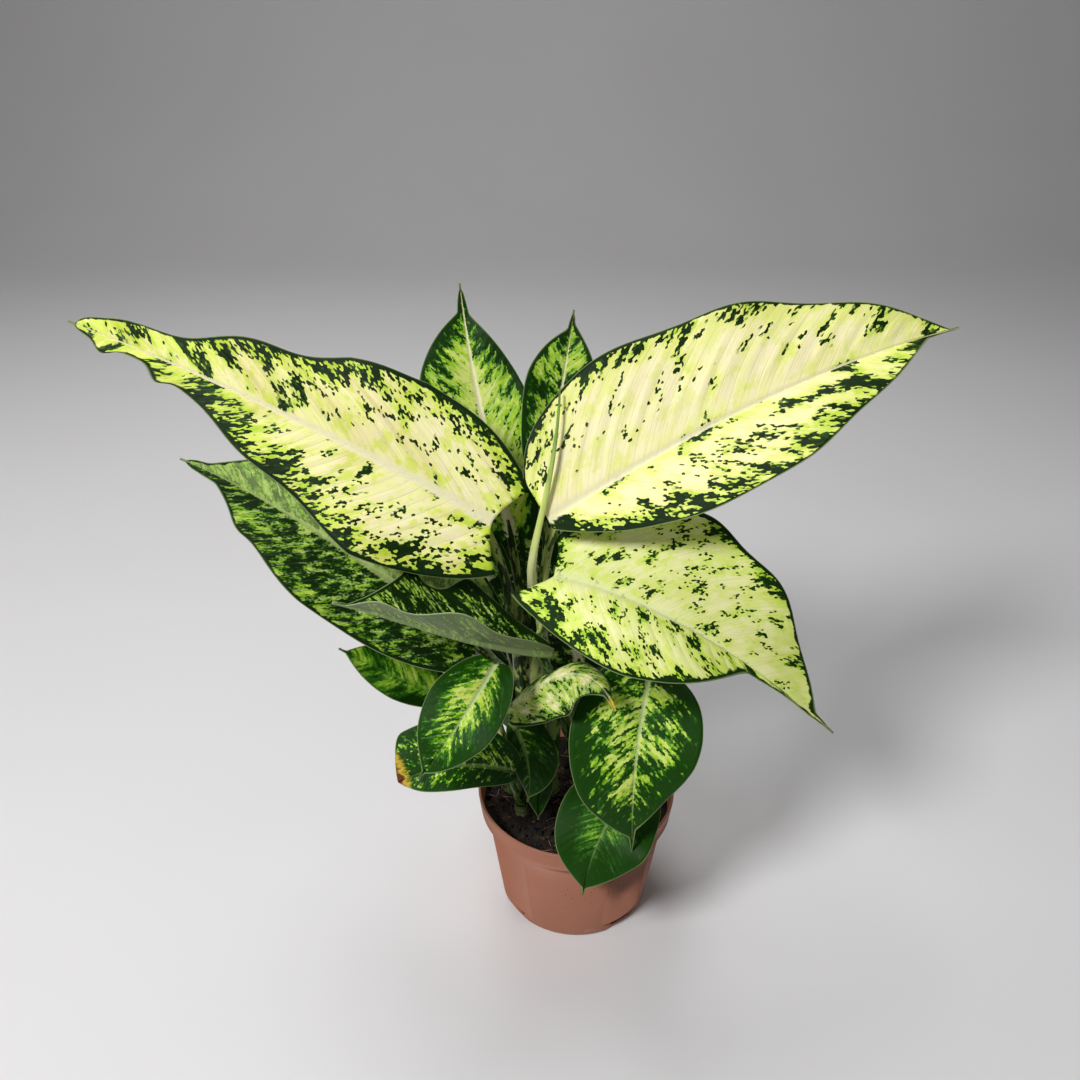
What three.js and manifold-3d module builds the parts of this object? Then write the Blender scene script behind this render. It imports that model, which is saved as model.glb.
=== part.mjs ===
// A young dieffenbachia in a 12 cm plastic nursery pot: the pot, its soil, four short canes,
// nineteen leaves, each a blade with its own petiole, and the newest leaf, which is still rolled
// up like a spear. Millimetres, +Z up, front towards -Y.
// The origin is the middle of the pot's foot, on the surface that the pot stands on.

import * as THREE from 'three';
import { mergeVertices } from 'three/addons/utils/BufferGeometryUtils.js';
import Module from 'manifold-3d';

const wasm = await Module();
wasm.setup();

// Driving dimensions of the pot. The foot has round drain holes in its floor and flat drain cuts
// through its edge, the first of them on the front left.
const rimRadius = 60;
const potHeight = 82;
const collarHeight = 13;
const collarTaper = 1.4;
const lipRound = 1.2;
const shoulderRadius = 54.5;
const shoulderHeight = 66;
const footRadius = 46;
const footRound = 1.5;
const wall = 1.4;
const potSides = 48;
const drainRadius = 4;
const drainCircle = 30;
const drainCount = 5;
const footCutCount = 4;
const footCutSide = -143;
const footCutDistance = 44.6;
const footCutHeight = 7;

// Driving dimensions of the soil, and the clearance between neighbours that touch.
const soilLevel = 71;
const soilLump = 0.7;
const soilRings = 7;
const caneDepth = 30;
const gap = 0.3;

// Driving dimensions that every leaf shares. Thickness and keel are a little stout for a leaf,
// so that each blade is a sound solid.
const bladeThickness = 0.8;
const keelDepth = 1.8;
const tipHalfWidth = 0.5;
const baseRounding = 0.03;
const veinSweep = 0.25;
const largeLeafLength = 110;
const largeLeaf = { grid: [12, 8], petioleRadius: [3.2, 2.2] };
const smallLeaf = { grid: [9, 6], petioleRadius: [2.2, 1.6] };
const petioleSides = 6;
const petioleSteps = 9;
const caneSides = 12;
const caneTaper = 0.92;

// The four canes: where the foot stands in the soil, where the top ends, and the radius.
const canes = {
  cane_main: { foot: [-16, 6], top: [-27, 2, 165], radius: 6.5 },
  cane_front: { foot: [-33, -13], top: [-35, -14, 99], radius: 4.5 },
  cane_right: { foot: [25, -4], top: [28, -4, 118], radius: 4.5 },
  cane_back: { foot: [6, 26], top: [5, 28, 104], radius: 4.5 },
};

// Each leaf: the cane that carries it, with the height and the compass side (degrees from +X)
// where its petiole leaves it; the handle that bends the petiole towards the blade; the four
// control points of the midrib, joint first and tip last; and the way the upper face looks.
// A half of the blade has its half width, the fold up from flat and the further bend towards
// its edge in degrees, the place of its widest point and of its end along the midrib, how
// round its base is and how long it stays full, and its bumps: where, how long, how far out.
const leaves = {
  leaf_upper_left: {
    root: { cane: 'cane_main', height: 138, side: 222, rise: 45 }, handle: [-33, -13, 245],
    midrib: [[-46, -12, 270], [-117, 2, 307], [-186, 20, 335], [-262, 45, 355]],
    face: [0.05, -0.75, 0.65], lobe: 0.06, spear: 0.15, taper: 0.3, wave: 2,
    waves: 3.6, frill: 0.14, phase: [0.51, 0.12],
    left: {
      half: 48, fold: 5, bend: -10, widest: 0.2, end: 0.78, full: 1,
      bumps: [[0.73, 0.03, 5], [0.9, 0.035, 5]],
    },
    right: {
      half: 48, fold: 8, bend: -10, widest: 0.22, end: 0.86, full: 1, lobe: 0.04, spear: 0.36,
    },
  },
  leaf_upper_right: {
    root: { cane: 'cane_main', height: 142, side: 330, rise: 40 }, handle: [-26, 0, 238],
    midrib: [[-18, -12, 271], [28, -5, 300], [101, 10, 342], [185, 30, 357]],
    face: [-0.1, -0.75, 0.65], lobe: 0, wave: 1.5, waves: 3.4, frill: 0.05, phase: [0.3, 0.4],
    left: { half: 57, fold: 5, bend: 0, widest: 0.28, end: 1, full: 2 },
    right: { half: 47, fold: 25, bend: 0, widest: 0.4, end: 0.94, full: 1.7, round: 1 },
  },
  leaf_lower_right: {
    root: { cane: 'cane_main', height: 118, side: 270, rise: 55 }, handle: [-22, -8, 225],
    midrib: [[-15, -22, 244], [27, -45, 248], [73, -62, 229], [126, -62, 176]],
    face: [0.1, -0.6, 0.8], lobe: 0.03, wave: 1.5, waves: 3.4, frill: 0.06, phase: [0.1, 0.4],
    left: { half: 55, fold: 8, bend: 0, widest: 0.36, end: 0.93, full: 1.8 },
    right: { half: 40, fold: 12, bend: -10, widest: 0.3, end: 0.67, full: 1.8, lobe: 0.1 },
  },
  leaf_lower_left: {
    root: { cane: 'cane_main', height: 118, side: 180, rise: 25 }, handle: [-50, -6, 180],
    midrib: [[-57, -8, 195], [-102, -8, 231], [-152, 2, 272], [-209, 20, 289]],
    face: [0, -0.7, 0.7], lobe: 0.06, spear: 0.25, taper: 0.5, wave: 1.5, frill: 0.05,
    left: {
      half: 37, fold: 8, bend: 0, widest: 0.3, end: 0.87, full: 1.9, bumps: [[0.72, 0.05, 3]],
    },
    right: { half: 40, fold: 8, bend: -10, widest: 0.3, end: 0.93, full: 1.8 },
  },
  leaf_upright_left: {
    root: { cane: 'cane_main', height: 142, side: 95, rise: 30 }, handle: [-34, 28, 210],
    midrib: [[-38, 36, 235], [-54, 56, 292], [-62, 74, 330], [-66, 88, 362]],
    face: [0, -1, 0.3], lobe: 0.04, spear: 0.2, taper: 0.6,
    left: { half: 31, fold: 8, bend: 0, widest: 0.42, end: 0.86, full: 2.2 },
    right: { half: 28, fold: 8, bend: -10, widest: 0.36, end: 0.85, full: 1.4 },
  },
  leaf_upright_right: {
    root: { cane: 'cane_main', height: 138, side: 50, rise: 35 }, handle: [-18, 40, 230],
    midrib: [[-19, 43, 266], [-13, 49, 299], [-8, 58, 328], [-4, 68, 354]],
    face: [0, -1, 0.3], lobe: 0.04, taper: 0.6,
    left: { half: 20, fold: 8, bend: 0, widest: 0.42, end: 0.88, full: 2.4 },
    right: { half: 20, fold: 8, bend: -10, widest: 0.42, end: 0.93, full: 1.6 },
  },
  leaf_folded: {
    root: { cane: 'cane_main', height: 98, side: 300, rise: 15 }, handle: [-8, -22, 178],
    midrib: [[-16, -25, 198], [-53, -38, 208], [-94, -48, 237], [-120, -55, 248]],
    face: [0, 0, 1], lobe: 0, wave: 2, waves: 2.6, frill: 0.12, phase: [0.1, 0.55],
    left: { half: 23, fold: 45, bend: 10, widest: 0.4, end: 0.93, full: 1.6, round: 0.9 },
    right: {
      half: 26, fold: 35, bend: 10, widest: 0.4, end: 0.93, full: 1.6, round: 0.9,
      bumps: [[0.36, 0.06, 6], [0.62, 0.05, 6]],
    },
  },
  leaf_small_left: {
    root: { cane: 'cane_front', height: 92, side: 155, rise: 15 }, handle: [-65, 4, 130],
    midrib: [[-76, 5, 145], [-96, -2, 158], [-114, -8, 175], [-131, -12, 190]],
    face: [0, -0.6, 0.8], lobe: 0.03, wave: 0.5,
    left: { half: 13, fold: 8, bend: 0, widest: 0.4, end: 0.95, full: 1.6 },
    right: { half: 18, fold: 8, bend: -10, widest: 0.4, end: 0.95, full: 1.6 },
  },
  leaf_oval_left: {
    root: { cane: 'cane_front', height: 92, side: 210, rise: 25 }, handle: [-55, -34, 162],
    midrib: [[-45, -45, 205], [-52, -68, 203], [-66, -82, 186], [-82, -84, 164]],
    face: [0, -0.7, 0.6], lobe: 0.02, wave: 0.5,
    left: { half: 18, fold: 8, bend: 0, widest: 0.4, end: 0.95, full: 1.8 },
    right: { half: 21, fold: 8, bend: -10, widest: 0.4, end: 0.95, full: 1.8 },
  },
  leaf_brown_tip: {
    root: { cane: 'cane_front', height: 84, side: 275, rise: 5 }, handle: [-34, -44, 108],
    midrib: [[-36, -40, 127], [-54, -52, 145], [-76, -62, 154], [-97, -62, 140]],
    face: [0, -0.7, 0.6], lobe: 0.02, wave: 0.8,
    left: { half: 12, fold: 8, bend: 0, widest: 0.5, end: 1, full: 2.6 },
    right: {
      half: 24, fold: 8, bend: -10, widest: 0.6, end: 1, full: 2.8, bumps: [[0.86, 0.08, 4]],
    },
  },
  leaf_curled: {
    root: { cane: 'cane_front', height: 90, side: 100, rise: 30 }, handle: [-56, -10, 146],
    midrib: [[-40, -30, 163], [-22, -41, 192], [3, -45, 215], [15, -65, 192]],
    face: [0, -0.35, 0.9], lobe: 0.02, wave: 1.2,
    left: { half: 13, fold: -20, bend: -20, widest: 0.5, end: 0.95, full: 1.8 },
    right: { half: 21, fold: -15, bend: -30, widest: 0.4, end: 0.9, full: 1.5 },
  },
  leaf_oval_front: {
    root: { cane: 'cane_right', height: 96, side: 330, rise: 25 }, handle: [40, -13, 160],
    midrib: [[38, -23, 182], [30, -52, 177], [25, -72, 146], [28, -68, 97]],
    face: [0, -0.9, 0.5], lobe: 0.07, wave: 0.8, frill: 0.03,
    left: { half: 33, fold: 8, bend: 0, widest: 0.33, end: 0.87, full: 1.6 },
    right: { half: 36, fold: 8, bend: -10, widest: 0.38, end: 0.92, full: 2.2 },
  },
  leaf_over_rim: {
    root: { cane: 'cane_right', height: 80, side: 280, rise: 10 }, handle: [38, -18, 103],
    midrib: [[36, -25, 111], [17, -50, 107], [6, -68, 100], [2, -70, 65]],
    face: [0, -0.6, 0.8], lobe: 0.04, wave: 0.8,
    left: { half: 27, fold: 8, bend: 0, widest: 0.4, end: 0.95, full: 2 },
    right: { half: 27, fold: 8, bend: -10, widest: 0.4, end: 0.95, full: 2 },
  },
  leaf_small_centre: {
    root: { cane: 'cane_front', height: 84, side: 325, rise: 25 }, handle: [-32, -14, 131],
    midrib: [[-39, -14, 141], [-33, -24, 143], [-25, -34, 125], [-29, -38, 104]],
    face: [0, -0.9, 0.5], lobe: 0.02, wave: 0.6,
    left: { half: 17, fold: 8, bend: -10, widest: 0.55, end: 0.95, full: 1.8 },
    right: { half: 8, fold: 8, bend: -10, widest: 0.5, end: 0.95, full: 1.6 },
  },
  leaf_under_centre: {
    root: { cane: 'cane_front', height: 78, side: 20, rise: 10 }, handle: [-20, -11, 100],
    midrib: [[-23, -17, 113], [-23, -24, 111], [-23, -28, 98], [-23, -30, 82]],
    face: [0, -0.9, 0.5], lobe: 0.02, wave: 0.4,
    left: { half: 8, fold: 8, bend: 0, widest: 0.4, end: 0.95, full: 1.5 },
    right: { half: 8, fold: 8, bend: -10, widest: 0.4, end: 0.95, full: 1.5 },
  },
  leaf_back_left: {
    root: { cane: 'cane_main', height: 130, side: 138, rise: 25 }, handle: [-44, 12, 200],
    midrib: [[-50, 20, 215], [-85, 36, 248], [-120, 56, 262], [-160, 78, 262]],
    face: [-0.1, -0.3, 0.95], lobe: 0.05,
    left: { half: 30, fold: 8, bend: 0, widest: 0.35, end: 0.95, full: 1.8 },
    right: { half: 30, fold: 8, bend: -10, widest: 0.35, end: 0.95, full: 1.8 },
  },
  leaf_back_right: {
    root: { cane: 'cane_right', height: 96, side: 30, rise: 20 }, handle: [64, 8, 170],
    midrib: [[70, 14, 190], [80, 32, 207], [90, 54, 214], [98, 80, 207]],
    face: [0.1, -0.3, 0.95], lobe: 0.05,
    left: { half: 22, fold: 8, bend: 0, widest: 0.35, end: 0.95, full: 1.8 },
    right: { half: 22, fold: 8, bend: -10, widest: 0.35, end: 0.95, full: 1.8 },
  },
  leaf_back_middle: {
    root: { cane: 'cane_back', height: 88, side: 60, rise: 15 }, handle: [8, 40, 118],
    midrib: [[4, 46, 134], [-10, 54, 176], [-12, 66, 222], [-5, 76, 258]],
    face: [0, -1, 0.3], lobe: 0.02,
    left: { half: 52, fold: 8, bend: 0, widest: 0.36, end: 0.95, full: 1.8 },
    right: { half: 38, fold: 8, bend: -10, widest: 0.4, end: 0.95, full: 1.8 },
  },
  leaf_back_low: {
    root: { cane: 'cane_back', height: 80, side: 150, rise: 20 }, handle: [-18, 42, 117],
    midrib: [[-20, 52, 128], [-21, 74, 156], [-22, 85, 110], [-22, 74, 38]],
    face: [0, 0.35, 0.94], lobe: 0,
    left: { half: 43, fold: 8, bend: 0, widest: 0.34, end: 0.98, full: 4 },
    right: { half: 43, fold: 8, bend: -10, widest: 0.34, end: 0.98, full: 4 },
  },
};

// The newest leaf: a spear that grows out beside the petiole of leaf_upper_right and stands in
// front of that blade. The four control points of its middle line, base first.
const rolledLeaf = {
  course: [[-26.2, -8.1, 236], [-27, -21, 262], [-14, -12, 292], [-12, 18, 328.5]],
  baseRadius: 2.6,
  tipRadius: 0.5,
};

// What a leaf has unless its row says otherwise: the lobe behind the joint and the slim tip as
// shares of length and width, how evenly that tip tapers (1 is evenly, less stays wide longer),
// the height of the edge's waves, how many there are, how far they also push the edge outward,
// and where the waves of the left and the right edge start.
const usual = {
  lobe: 0.04, spear: 0.2, taper: 1, wave: 1, waves: 2.6, frill: 0.02, phase: [0, 0.4],
};

const vec = (p) => new THREE.Vector3(...p);

// A closed geometry becomes a solid that can be cut and joined, and comes back again.
function toSolid(geometry) {
  const bare = geometry.clone();
  bare.deleteAttribute('normal');
  bare.deleteAttribute('uv');
  const merged = mergeVertices(bare, 1e-4);
  return new wasm.Manifold(new wasm.Mesh({
    numProp: 3,
    vertProperties: new Float32Array(merged.attributes.position.array),
    triVerts: new Uint32Array(merged.index.array),
  }));
}

function toGeometry(solid) {
  const mesh = solid.getMesh();
  const geometry = new THREE.BufferGeometry();
  geometry.setAttribute('position', new THREE.BufferAttribute(mesh.vertProperties, 3));
  geometry.setIndex(new THREE.BufferAttribute(mesh.triVerts, 1));
  geometry.computeVertexNormals();
  return geometry;
}

// A round bar along a curve, which tapers evenly: a closed cylinder whose rings are moved on to
// the curve's own frames.
function taperedBar(curve, startRadius, endRadius, sides, steps) {
  const bar = new THREE.CylinderGeometry(1, 1, 1, sides, steps);
  const frames = curve.computeFrenetFrames(steps);
  const place = bar.attributes.position;
  for (let i = 0; i < place.count; i += 1) {
    const along = place.getY(i) + 0.5;
    const ring = Math.round(along * steps);
    const radius = THREE.MathUtils.lerp(startRadius, endRadius, along);
    const at = curve.getPointAt(along)
      .addScaledVector(frames.normals[ring], place.getX(i) * radius)
      .addScaledVector(frames.binormals[ring], -place.getZ(i) * radius);
    place.setXYZ(i, at.x, at.y, at.z);
  }
  return bar;
}

// Half width of one half of a blade at u along it, as a share of its greatest: an elliptic
// base, a body that tapers to its end, and a slim spear that runs on to the tip.
function share(u, side, spear, taper) {
  const { widest, end, full, round = 0.5 } = side;
  if (u < widest) {
    return (1 - ((widest - u) / (widest + baseRounding)) ** 2) ** round;
  }
  const past = Math.min((u - widest) / (end - widest), 1);
  const body = 1 - past ** full;
  const slim = spear * ((1 - u) / (1 - widest)) ** taper * Math.min((u - widest) / 0.15, 1);
  return Math.hypot(body, slim);
}

// A point of a blade: u runs from the joint to the tip, v from the left edge (-1) to the right
// (+1), and lift is the height off the blade's middle surface. Lines across the blade sweep
// towards the tip, as its side veins do, and near the joint they fall back into the lobes.
function bladePoint(leaf, u, v, lift) {
  const side = v < 0 ? leaf.left : leaf.right;
  const out = Math.abs(v);
  const lobe = (side.lobe ?? leaf.lobe) * (1 - u) ** 10;
  const along = u + (veinSweep * u * (1 - u) - lobe) * out ** 1.6;
  const inside = THREE.MathUtils.clamp(along, 0, 1);
  const forward = leaf.curve.getTangent(inside);
  const right = forward.clone().cross(vec(leaf.face)).normalize();
  const up = right.clone().cross(forward);
  const phase = v < 0 ? leaf.phase[0] : leaf.phase[1];
  const ripple = Math.sin(2 * Math.PI * (leaf.waves * u + phase))
    * Math.sqrt(Math.sin(Math.PI * u) + 1e-9);
  const outline = side.half * share(u, side, side.spear ?? leaf.spear, leaf.taper);
  let bumps = 0;
  for (const [at, long, far] of side.bumps ?? []) {
    bumps += far * Math.exp(-(((u - at) / long) ** 2));
  }
  const half = outline * (1 + leaf.frill * u * ripple) + bumps + tipHalfWidth;
  const fold = THREE.MathUtils.degToRad(side.fold);
  const bend = THREE.MathUtils.degToRad(side.bend) || 1e-6;
  const across = half * (Math.sin(fold + bend * out) - Math.sin(fold)) / bend;
  const raised = half * (Math.cos(fold) - Math.cos(fold + bend * out)) / bend
    + leaf.wave * out ** 2 * ripple;
  const tilt = out > 0 ? fold + bend * out : 0;
  return leaf.curve.getPoint(inside)
    .addScaledVector(forward, Math.min(along, 0) * leaf.length)
    .addScaledVector(right, Math.sign(v) * (across - lift * Math.sin(tilt)))
    .addScaledVector(up, raised + lift * Math.cos(tilt));
}

// The blade is two skins with the same triangles, one seen from above and one from below,
// joined round the edge. The lower skin hangs deeper under the midrib, as a keel.
function bladeSheet(leaf) {
  const [lengthwise, crosswise] = leaf.build.grid;
  const skin = new THREE.PlaneGeometry(2, 1, crosswise, lengthwise);
  const flat = skin.attributes.position;
  const upper = [];
  const lower = [];
  for (let i = 0; i < flat.count; i += 1) {
    const v = flat.getX(i);
    const u = flat.getY(i) + 0.5;
    const keel = Math.abs(v) < 0.01 ? keelDepth * (1 - u) : 0;
    upper.push(...bladePoint(leaf, u, v, bladeThickness / 2).toArray());
    lower.push(...bladePoint(leaf, u, v, -bladeThickness / 2 - keel).toArray());
  }
  const triangles = [];
  const count = flat.count;
  for (let i = 0; i < skin.index.count; i += 3) {
    const [a, b, c] = [0, 1, 2].map((k) => skin.index.getX(i + k));
    triangles.push(a, b, c, count + a, count + c, count + b);
  }
  const at = (column, row) => column + (crosswise + 1) * row;
  const loop = [];
  for (let i = 0; i < crosswise; i += 1) loop.push(at(i, lengthwise));
  for (let i = lengthwise; i > 0; i -= 1) loop.push(at(crosswise, i));
  for (let i = crosswise; i > 0; i -= 1) loop.push(at(i, 0));
  for (let i = 0; i < lengthwise; i += 1) loop.push(at(0, i));
  loop.forEach((a, i) => {
    const b = loop[(i + 1) % loop.length];
    triangles.push(b, a, count + a, b, count + a, count + b);
  });
  const sheet = new THREE.BufferGeometry();
  sheet.setAttribute('position', new THREE.Float32BufferAttribute([...upper, ...lower], 3));
  sheet.setIndex(triangles);
  return sheet;
}

// The middle of a cane at a height above the table.
function caneAxis(cane, height) {
  const climbed = (height - soilLevel) / (cane.top[2] - soilLevel);
  return vec([...cane.foot, soilLevel]).lerp(vec(cane.top), climbed);
}

// The petiole starts against its cane's side, climbs beside the cane and bends over to run in
// under the blade's joint. Many-sided bars touch a little inside their radii, hence flatShare.
function petiole(leaf) {
  const cane = canes[leaf.root.cane];
  const [startRadius, endRadius] = leaf.build.petioleRadius;
  const flatShare = 0.98;
  const axis = caneAxis(cane, leaf.root.height);
  const climb = caneAxis(cane, leaf.root.height + leaf.root.rise).sub(axis);
  const reach = flatShare * (cane.radius + startRadius) + gap;
  const outward = new THREE.Vector3(reach, 0, 0);
  outward.applyAxisAngle(new THREE.Vector3(0, 0, 1), THREE.MathUtils.degToRad(leaf.root.side));
  const start = axis.add(outward);
  const curve = new THREE.CubicBezierCurve3(
    start,
    start.clone().add(climb),
    vec(leaf.handle),
    bladePoint(leaf, 0.03, 0, bladeThickness - endRadius),
  );
  return taperedBar(curve, startRadius, endRadius, petioleSides, petioleSteps);
}

function makeLeaf(row) {
  const curve = new THREE.CubicBezierCurve3(...row.midrib.map(vec));
  const length = curve.getLength();
  const build = length > largeLeafLength ? largeLeaf : smallLeaf;
  const leaf = { ...usual, ...row, curve, length, build };
  return toGeometry(toSolid(bladeSheet(leaf)).add(toSolid(petiole(leaf))));
}

function makeRolledLeaf() {
  const curve = new THREE.CubicBezierCurve3(...rolledLeaf.course.map(vec));
  return taperedBar(curve, rolledLeaf.baseRadius, rolledLeaf.tipRadius, 8, 12);
}

// A cane is a plain bar that stands in the soil. Made stouter by extra, it is the hole's cutter.
function caneBar(cane, extra) {
  const below = caneAxis(cane, soilLevel - caneDepth - extra);
  const radius = cane.radius + extra;
  const line = new THREE.LineCurve3(below, vec(cane.top));
  return taperedBar(line, radius, radius * caneTaper, caneSides, 2);
}

function lathe(outline) {
  const points = outline.map(([r, z]) => new THREE.Vector2(r, z));
  return new THREE.LatheGeometry(points, potSides).rotateX(Math.PI / 2);
}

// Inner radius of the pot at a height below its shoulder.
function innerRadius(height) {
  return THREE.MathUtils.lerp(footRadius, shoulderRadius, height / shoulderHeight) - wall;
}

// The same cutter repeated round the pot's axis, the first on the compass side given.
function around(count, firstSide, cutter) {
  return Array.from({ length: count }, (_, i) => {
    const turn = THREE.MathUtils.degToRad(firstSide + i * 360 / count);
    return toSolid(cutter.clone().rotateZ(turn));
  });
}

// The pot: a thin wall turned about its axis, with a wider collar and a rounded lip, and its
// drain holes and drain cuts.
function makePot() {
  const underCollar = potHeight - collarHeight;
  const collarFoot = rimRadius - collarTaper - lipRound / 3;
  const lip = potHeight - lipRound;
  const shell = toSolid(lathe([
    [0, 0],
    [footRadius - footRound, 0],
    [footRadius, footRound],
    [shoulderRadius, shoulderHeight],
    [collarFoot, underCollar],
    [rimRadius - lipRound / 3, lip],
    [rimRadius - lipRound / 2, potHeight],
    [rimRadius - wall, potHeight],
    [rimRadius - wall - lipRound / 2, lip],
    [collarFoot - wall, underCollar],
    [shoulderRadius - wall, shoulderHeight],
    [innerRadius(wall + footRound), wall + footRound],
    [innerRadius(wall) - footRound, wall],
    [0, wall],
  ]));
  const drill = new THREE.CylinderGeometry(drainRadius, drainRadius, 4 * wall, 16);
  drill.rotateX(Math.PI / 2).translate(drainCircle, 0, 0);
  const block = new THREE.BoxGeometry(footRadius, footRadius, 2 * footCutHeight);
  block.translate(footCutDistance + footRadius / 2, 0, 0);
  const cutters = [
    ...around(drainCount, 36, drill),
    ...around(footCutCount, footCutSide, block),
  ];
  return toGeometry(cutters.reduce((pot, cutter) => pot.subtract(cutter), shell));
}

// The soil fills the pot up into the collar. Its top is lumpy, and has a plain hole for each cane.
function makeSoil() {
  const edge = shoulderRadius - wall + 3;
  const top = Array.from({ length: soilRings }, (_, i) => [edge * (1 - i / soilRings), soilLevel]);
  const body = lathe([
    [0, wall + gap],
    [innerRadius(0) - footRound - 1, wall + gap],
    [innerRadius(shoulderHeight) - gap, shoulderHeight],
    ...top,
    [0, soilLevel],
  ]);
  const place = body.attributes.position;
  for (let i = 0; i < place.count; i += 1) {
    const [x, y, z] = [place.getX(i), place.getY(i), place.getZ(i)];
    const lumps = Math.sin(0.31 * x + 0.17 * y) + Math.sin(0.23 * y - 0.4 * x + 2)
      + Math.sin(0.47 * y + 1);
    const onTop = z > soilLevel - gap && Math.hypot(x, y) < edge - gap;
    if (onTop) place.setZ(i, z + soilLump * lumps);
  }
  const holes = Object.values(canes).map((cane) => toSolid(caneBar(cane, gap)));
  return toGeometry(holes.reduce((soil, hole) => soil.subtract(hole), toSolid(body)));
}

// Colours and finishes as seen: terracotta-coloured plastic, dark peat, pale green canes, and
// cream, lime or dark green blades.
const finish = (color, roughness) => (
  new THREE.MeshStandardMaterial({ color, roughness, metalness: 0 })
);
const terracotta = finish('#a5735f', 0.55);
const peat = finish('#22160f', 1);
const paleGreen = finish('#a9bd83', 0.6);
const creamLeaf = finish('#dfe3a0', 0.45);
const limeLeaf = finish('#8fbf4a', 0.45);
const darkLeaf = finish('#35662b', 0.45);

const leafFinish = {
  leaf_upper_left: creamLeaf,
  leaf_upper_right: creamLeaf,
  leaf_lower_right: creamLeaf,
  leaf_lower_left: limeLeaf,
  leaf_upright_left: limeLeaf,
  leaf_small_left: limeLeaf,
  leaf_curled: creamLeaf,
  leaf_oval_front: limeLeaf,
};

const plant = new THREE.Group();

function add(name, geometry, material) {
  const mesh = new THREE.Mesh(geometry, material);
  mesh.name = name;
  plant.add(mesh);
}

add('pot', makePot(), terracotta);
add('soil', makeSoil(), peat);
for (const [name, cane] of Object.entries(canes)) add(name, caneBar(cane, 0), paleGreen);
for (const [name, row] of Object.entries(leaves)) {
  add(name, makeLeaf(row), leafFinish[name] ?? darkLeaf);
}
add('leaf_rolled', makeRolledLeaf(), limeLeaf);

export default plant;
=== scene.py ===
# %% [markdown]
# # A young dieffenbachia in its nursery pot
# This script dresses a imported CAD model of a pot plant: nineteen broad, speckled leaves on
# juicy stalks, one leaf still rolled up, four short canes, crumbly peat and a terracotta-coloured
# plastic pot.
# The CAD frame says where each thing is. Blender adds what the eye looks for: fine blades with
# veins and pleats, markings that follow the veins, grooved stalks, crumbs of peat.
# We begin by loading the frame and keeping its outer box, so that we can compare sizes later.

# %% Load the frame
import math
import random

import bmesh
import bpy
from mathutils import Matrix, Vector, noise


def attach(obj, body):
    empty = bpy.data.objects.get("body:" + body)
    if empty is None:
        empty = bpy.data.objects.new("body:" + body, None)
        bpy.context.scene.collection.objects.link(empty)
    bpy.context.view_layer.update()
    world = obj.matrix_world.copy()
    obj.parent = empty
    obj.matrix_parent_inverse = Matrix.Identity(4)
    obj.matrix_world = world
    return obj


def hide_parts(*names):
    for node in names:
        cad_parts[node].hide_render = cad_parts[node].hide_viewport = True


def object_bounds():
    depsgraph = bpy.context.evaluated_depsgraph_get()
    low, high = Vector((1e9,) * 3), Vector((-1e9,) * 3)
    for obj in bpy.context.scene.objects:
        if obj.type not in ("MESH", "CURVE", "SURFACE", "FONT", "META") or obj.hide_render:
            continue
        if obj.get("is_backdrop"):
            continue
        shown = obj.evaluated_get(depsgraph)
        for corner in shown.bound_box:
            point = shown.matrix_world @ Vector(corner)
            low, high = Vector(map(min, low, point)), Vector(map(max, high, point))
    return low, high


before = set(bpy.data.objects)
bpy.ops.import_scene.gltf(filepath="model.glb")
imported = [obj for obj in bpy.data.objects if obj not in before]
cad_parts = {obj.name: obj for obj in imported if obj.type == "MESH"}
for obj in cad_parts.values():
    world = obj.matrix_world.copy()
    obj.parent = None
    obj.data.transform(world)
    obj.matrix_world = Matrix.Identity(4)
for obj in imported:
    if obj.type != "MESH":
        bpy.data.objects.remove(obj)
cad_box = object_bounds()
MM = 0.001
print("nodes in the frame:", len(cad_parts))

# %% [markdown]
# ## The camera
# The photograph looks down on the plant at about 29 degrees, from half a metre away. A camera
# can be aimed with a constraint, but a fixed place and turn is easier to compare with the
# photograph, so we set both. Blender's camera looks along its own -Z, so a turn of 90 degrees
# about X would look level along +Y, and we take the downward pitch off that.

# %% Place the camera
LOOK_DOWN = 29.3
PIXELS = 1080
FOCAL_PIXELS = 1000
SENSOR = 36

eye = bpy.data.cameras.new("eye")
eye.sensor_width = SENSOR
eye.lens = FOCAL_PIXELS * SENSOR / PIXELS
eye.clip_start = 0.01
camera = bpy.data.objects.new("camera", eye)
camera.location = (-22 * MM, -461 * MM, 511 * MM)
camera.rotation_euler = (math.radians(90 - LOOK_DOWN), 0, 0)
bpy.context.scene.collection.objects.link(camera)
bpy.context.scene.camera = camera
print("lens:", round(eye.lens, 2), "mm")

# %% [markdown]
# ## Soft studio light and a pale floor
# Leaves look waxy because they mirror a large, soft light. Three area lamps stand in for studio
# softboxes: a strong one high on the left in front, a weaker one on the right, and one above
# and behind that lights the upper faces and rims the edges. A pale world fills the shadows.
# The floor is one wide sheet whose far part rolls up into a wall, so there is no hard horizon.

# %% Hang the lamps
def hang_softbox(name, place, target, width, watts):
    lamp = bpy.data.lights.new(name, "AREA")
    lamp.shape = "DISK"
    lamp.size = width
    lamp.energy = watts
    softbox = bpy.data.objects.new(name, lamp)
    softbox.location = place
    softbox.rotation_euler = (Vector(target) - Vector(place)).to_track_quat("-Z", "Y").to_euler()
    bpy.context.scene.collection.objects.link(softbox)


hang_softbox("key_softbox", (-0.9, -1.0, 1.5), (0, 0, 0.2), 0.5, 29)
hang_softbox("fill_softbox", (1.3, -0.7, 0.9), (0, 0, 0.2), 0.9, 2.2)
hang_softbox("top_softbox", (-0.3, 0.6, 1.6), (0, 0, 0.2), 0.9, 11)

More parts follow.
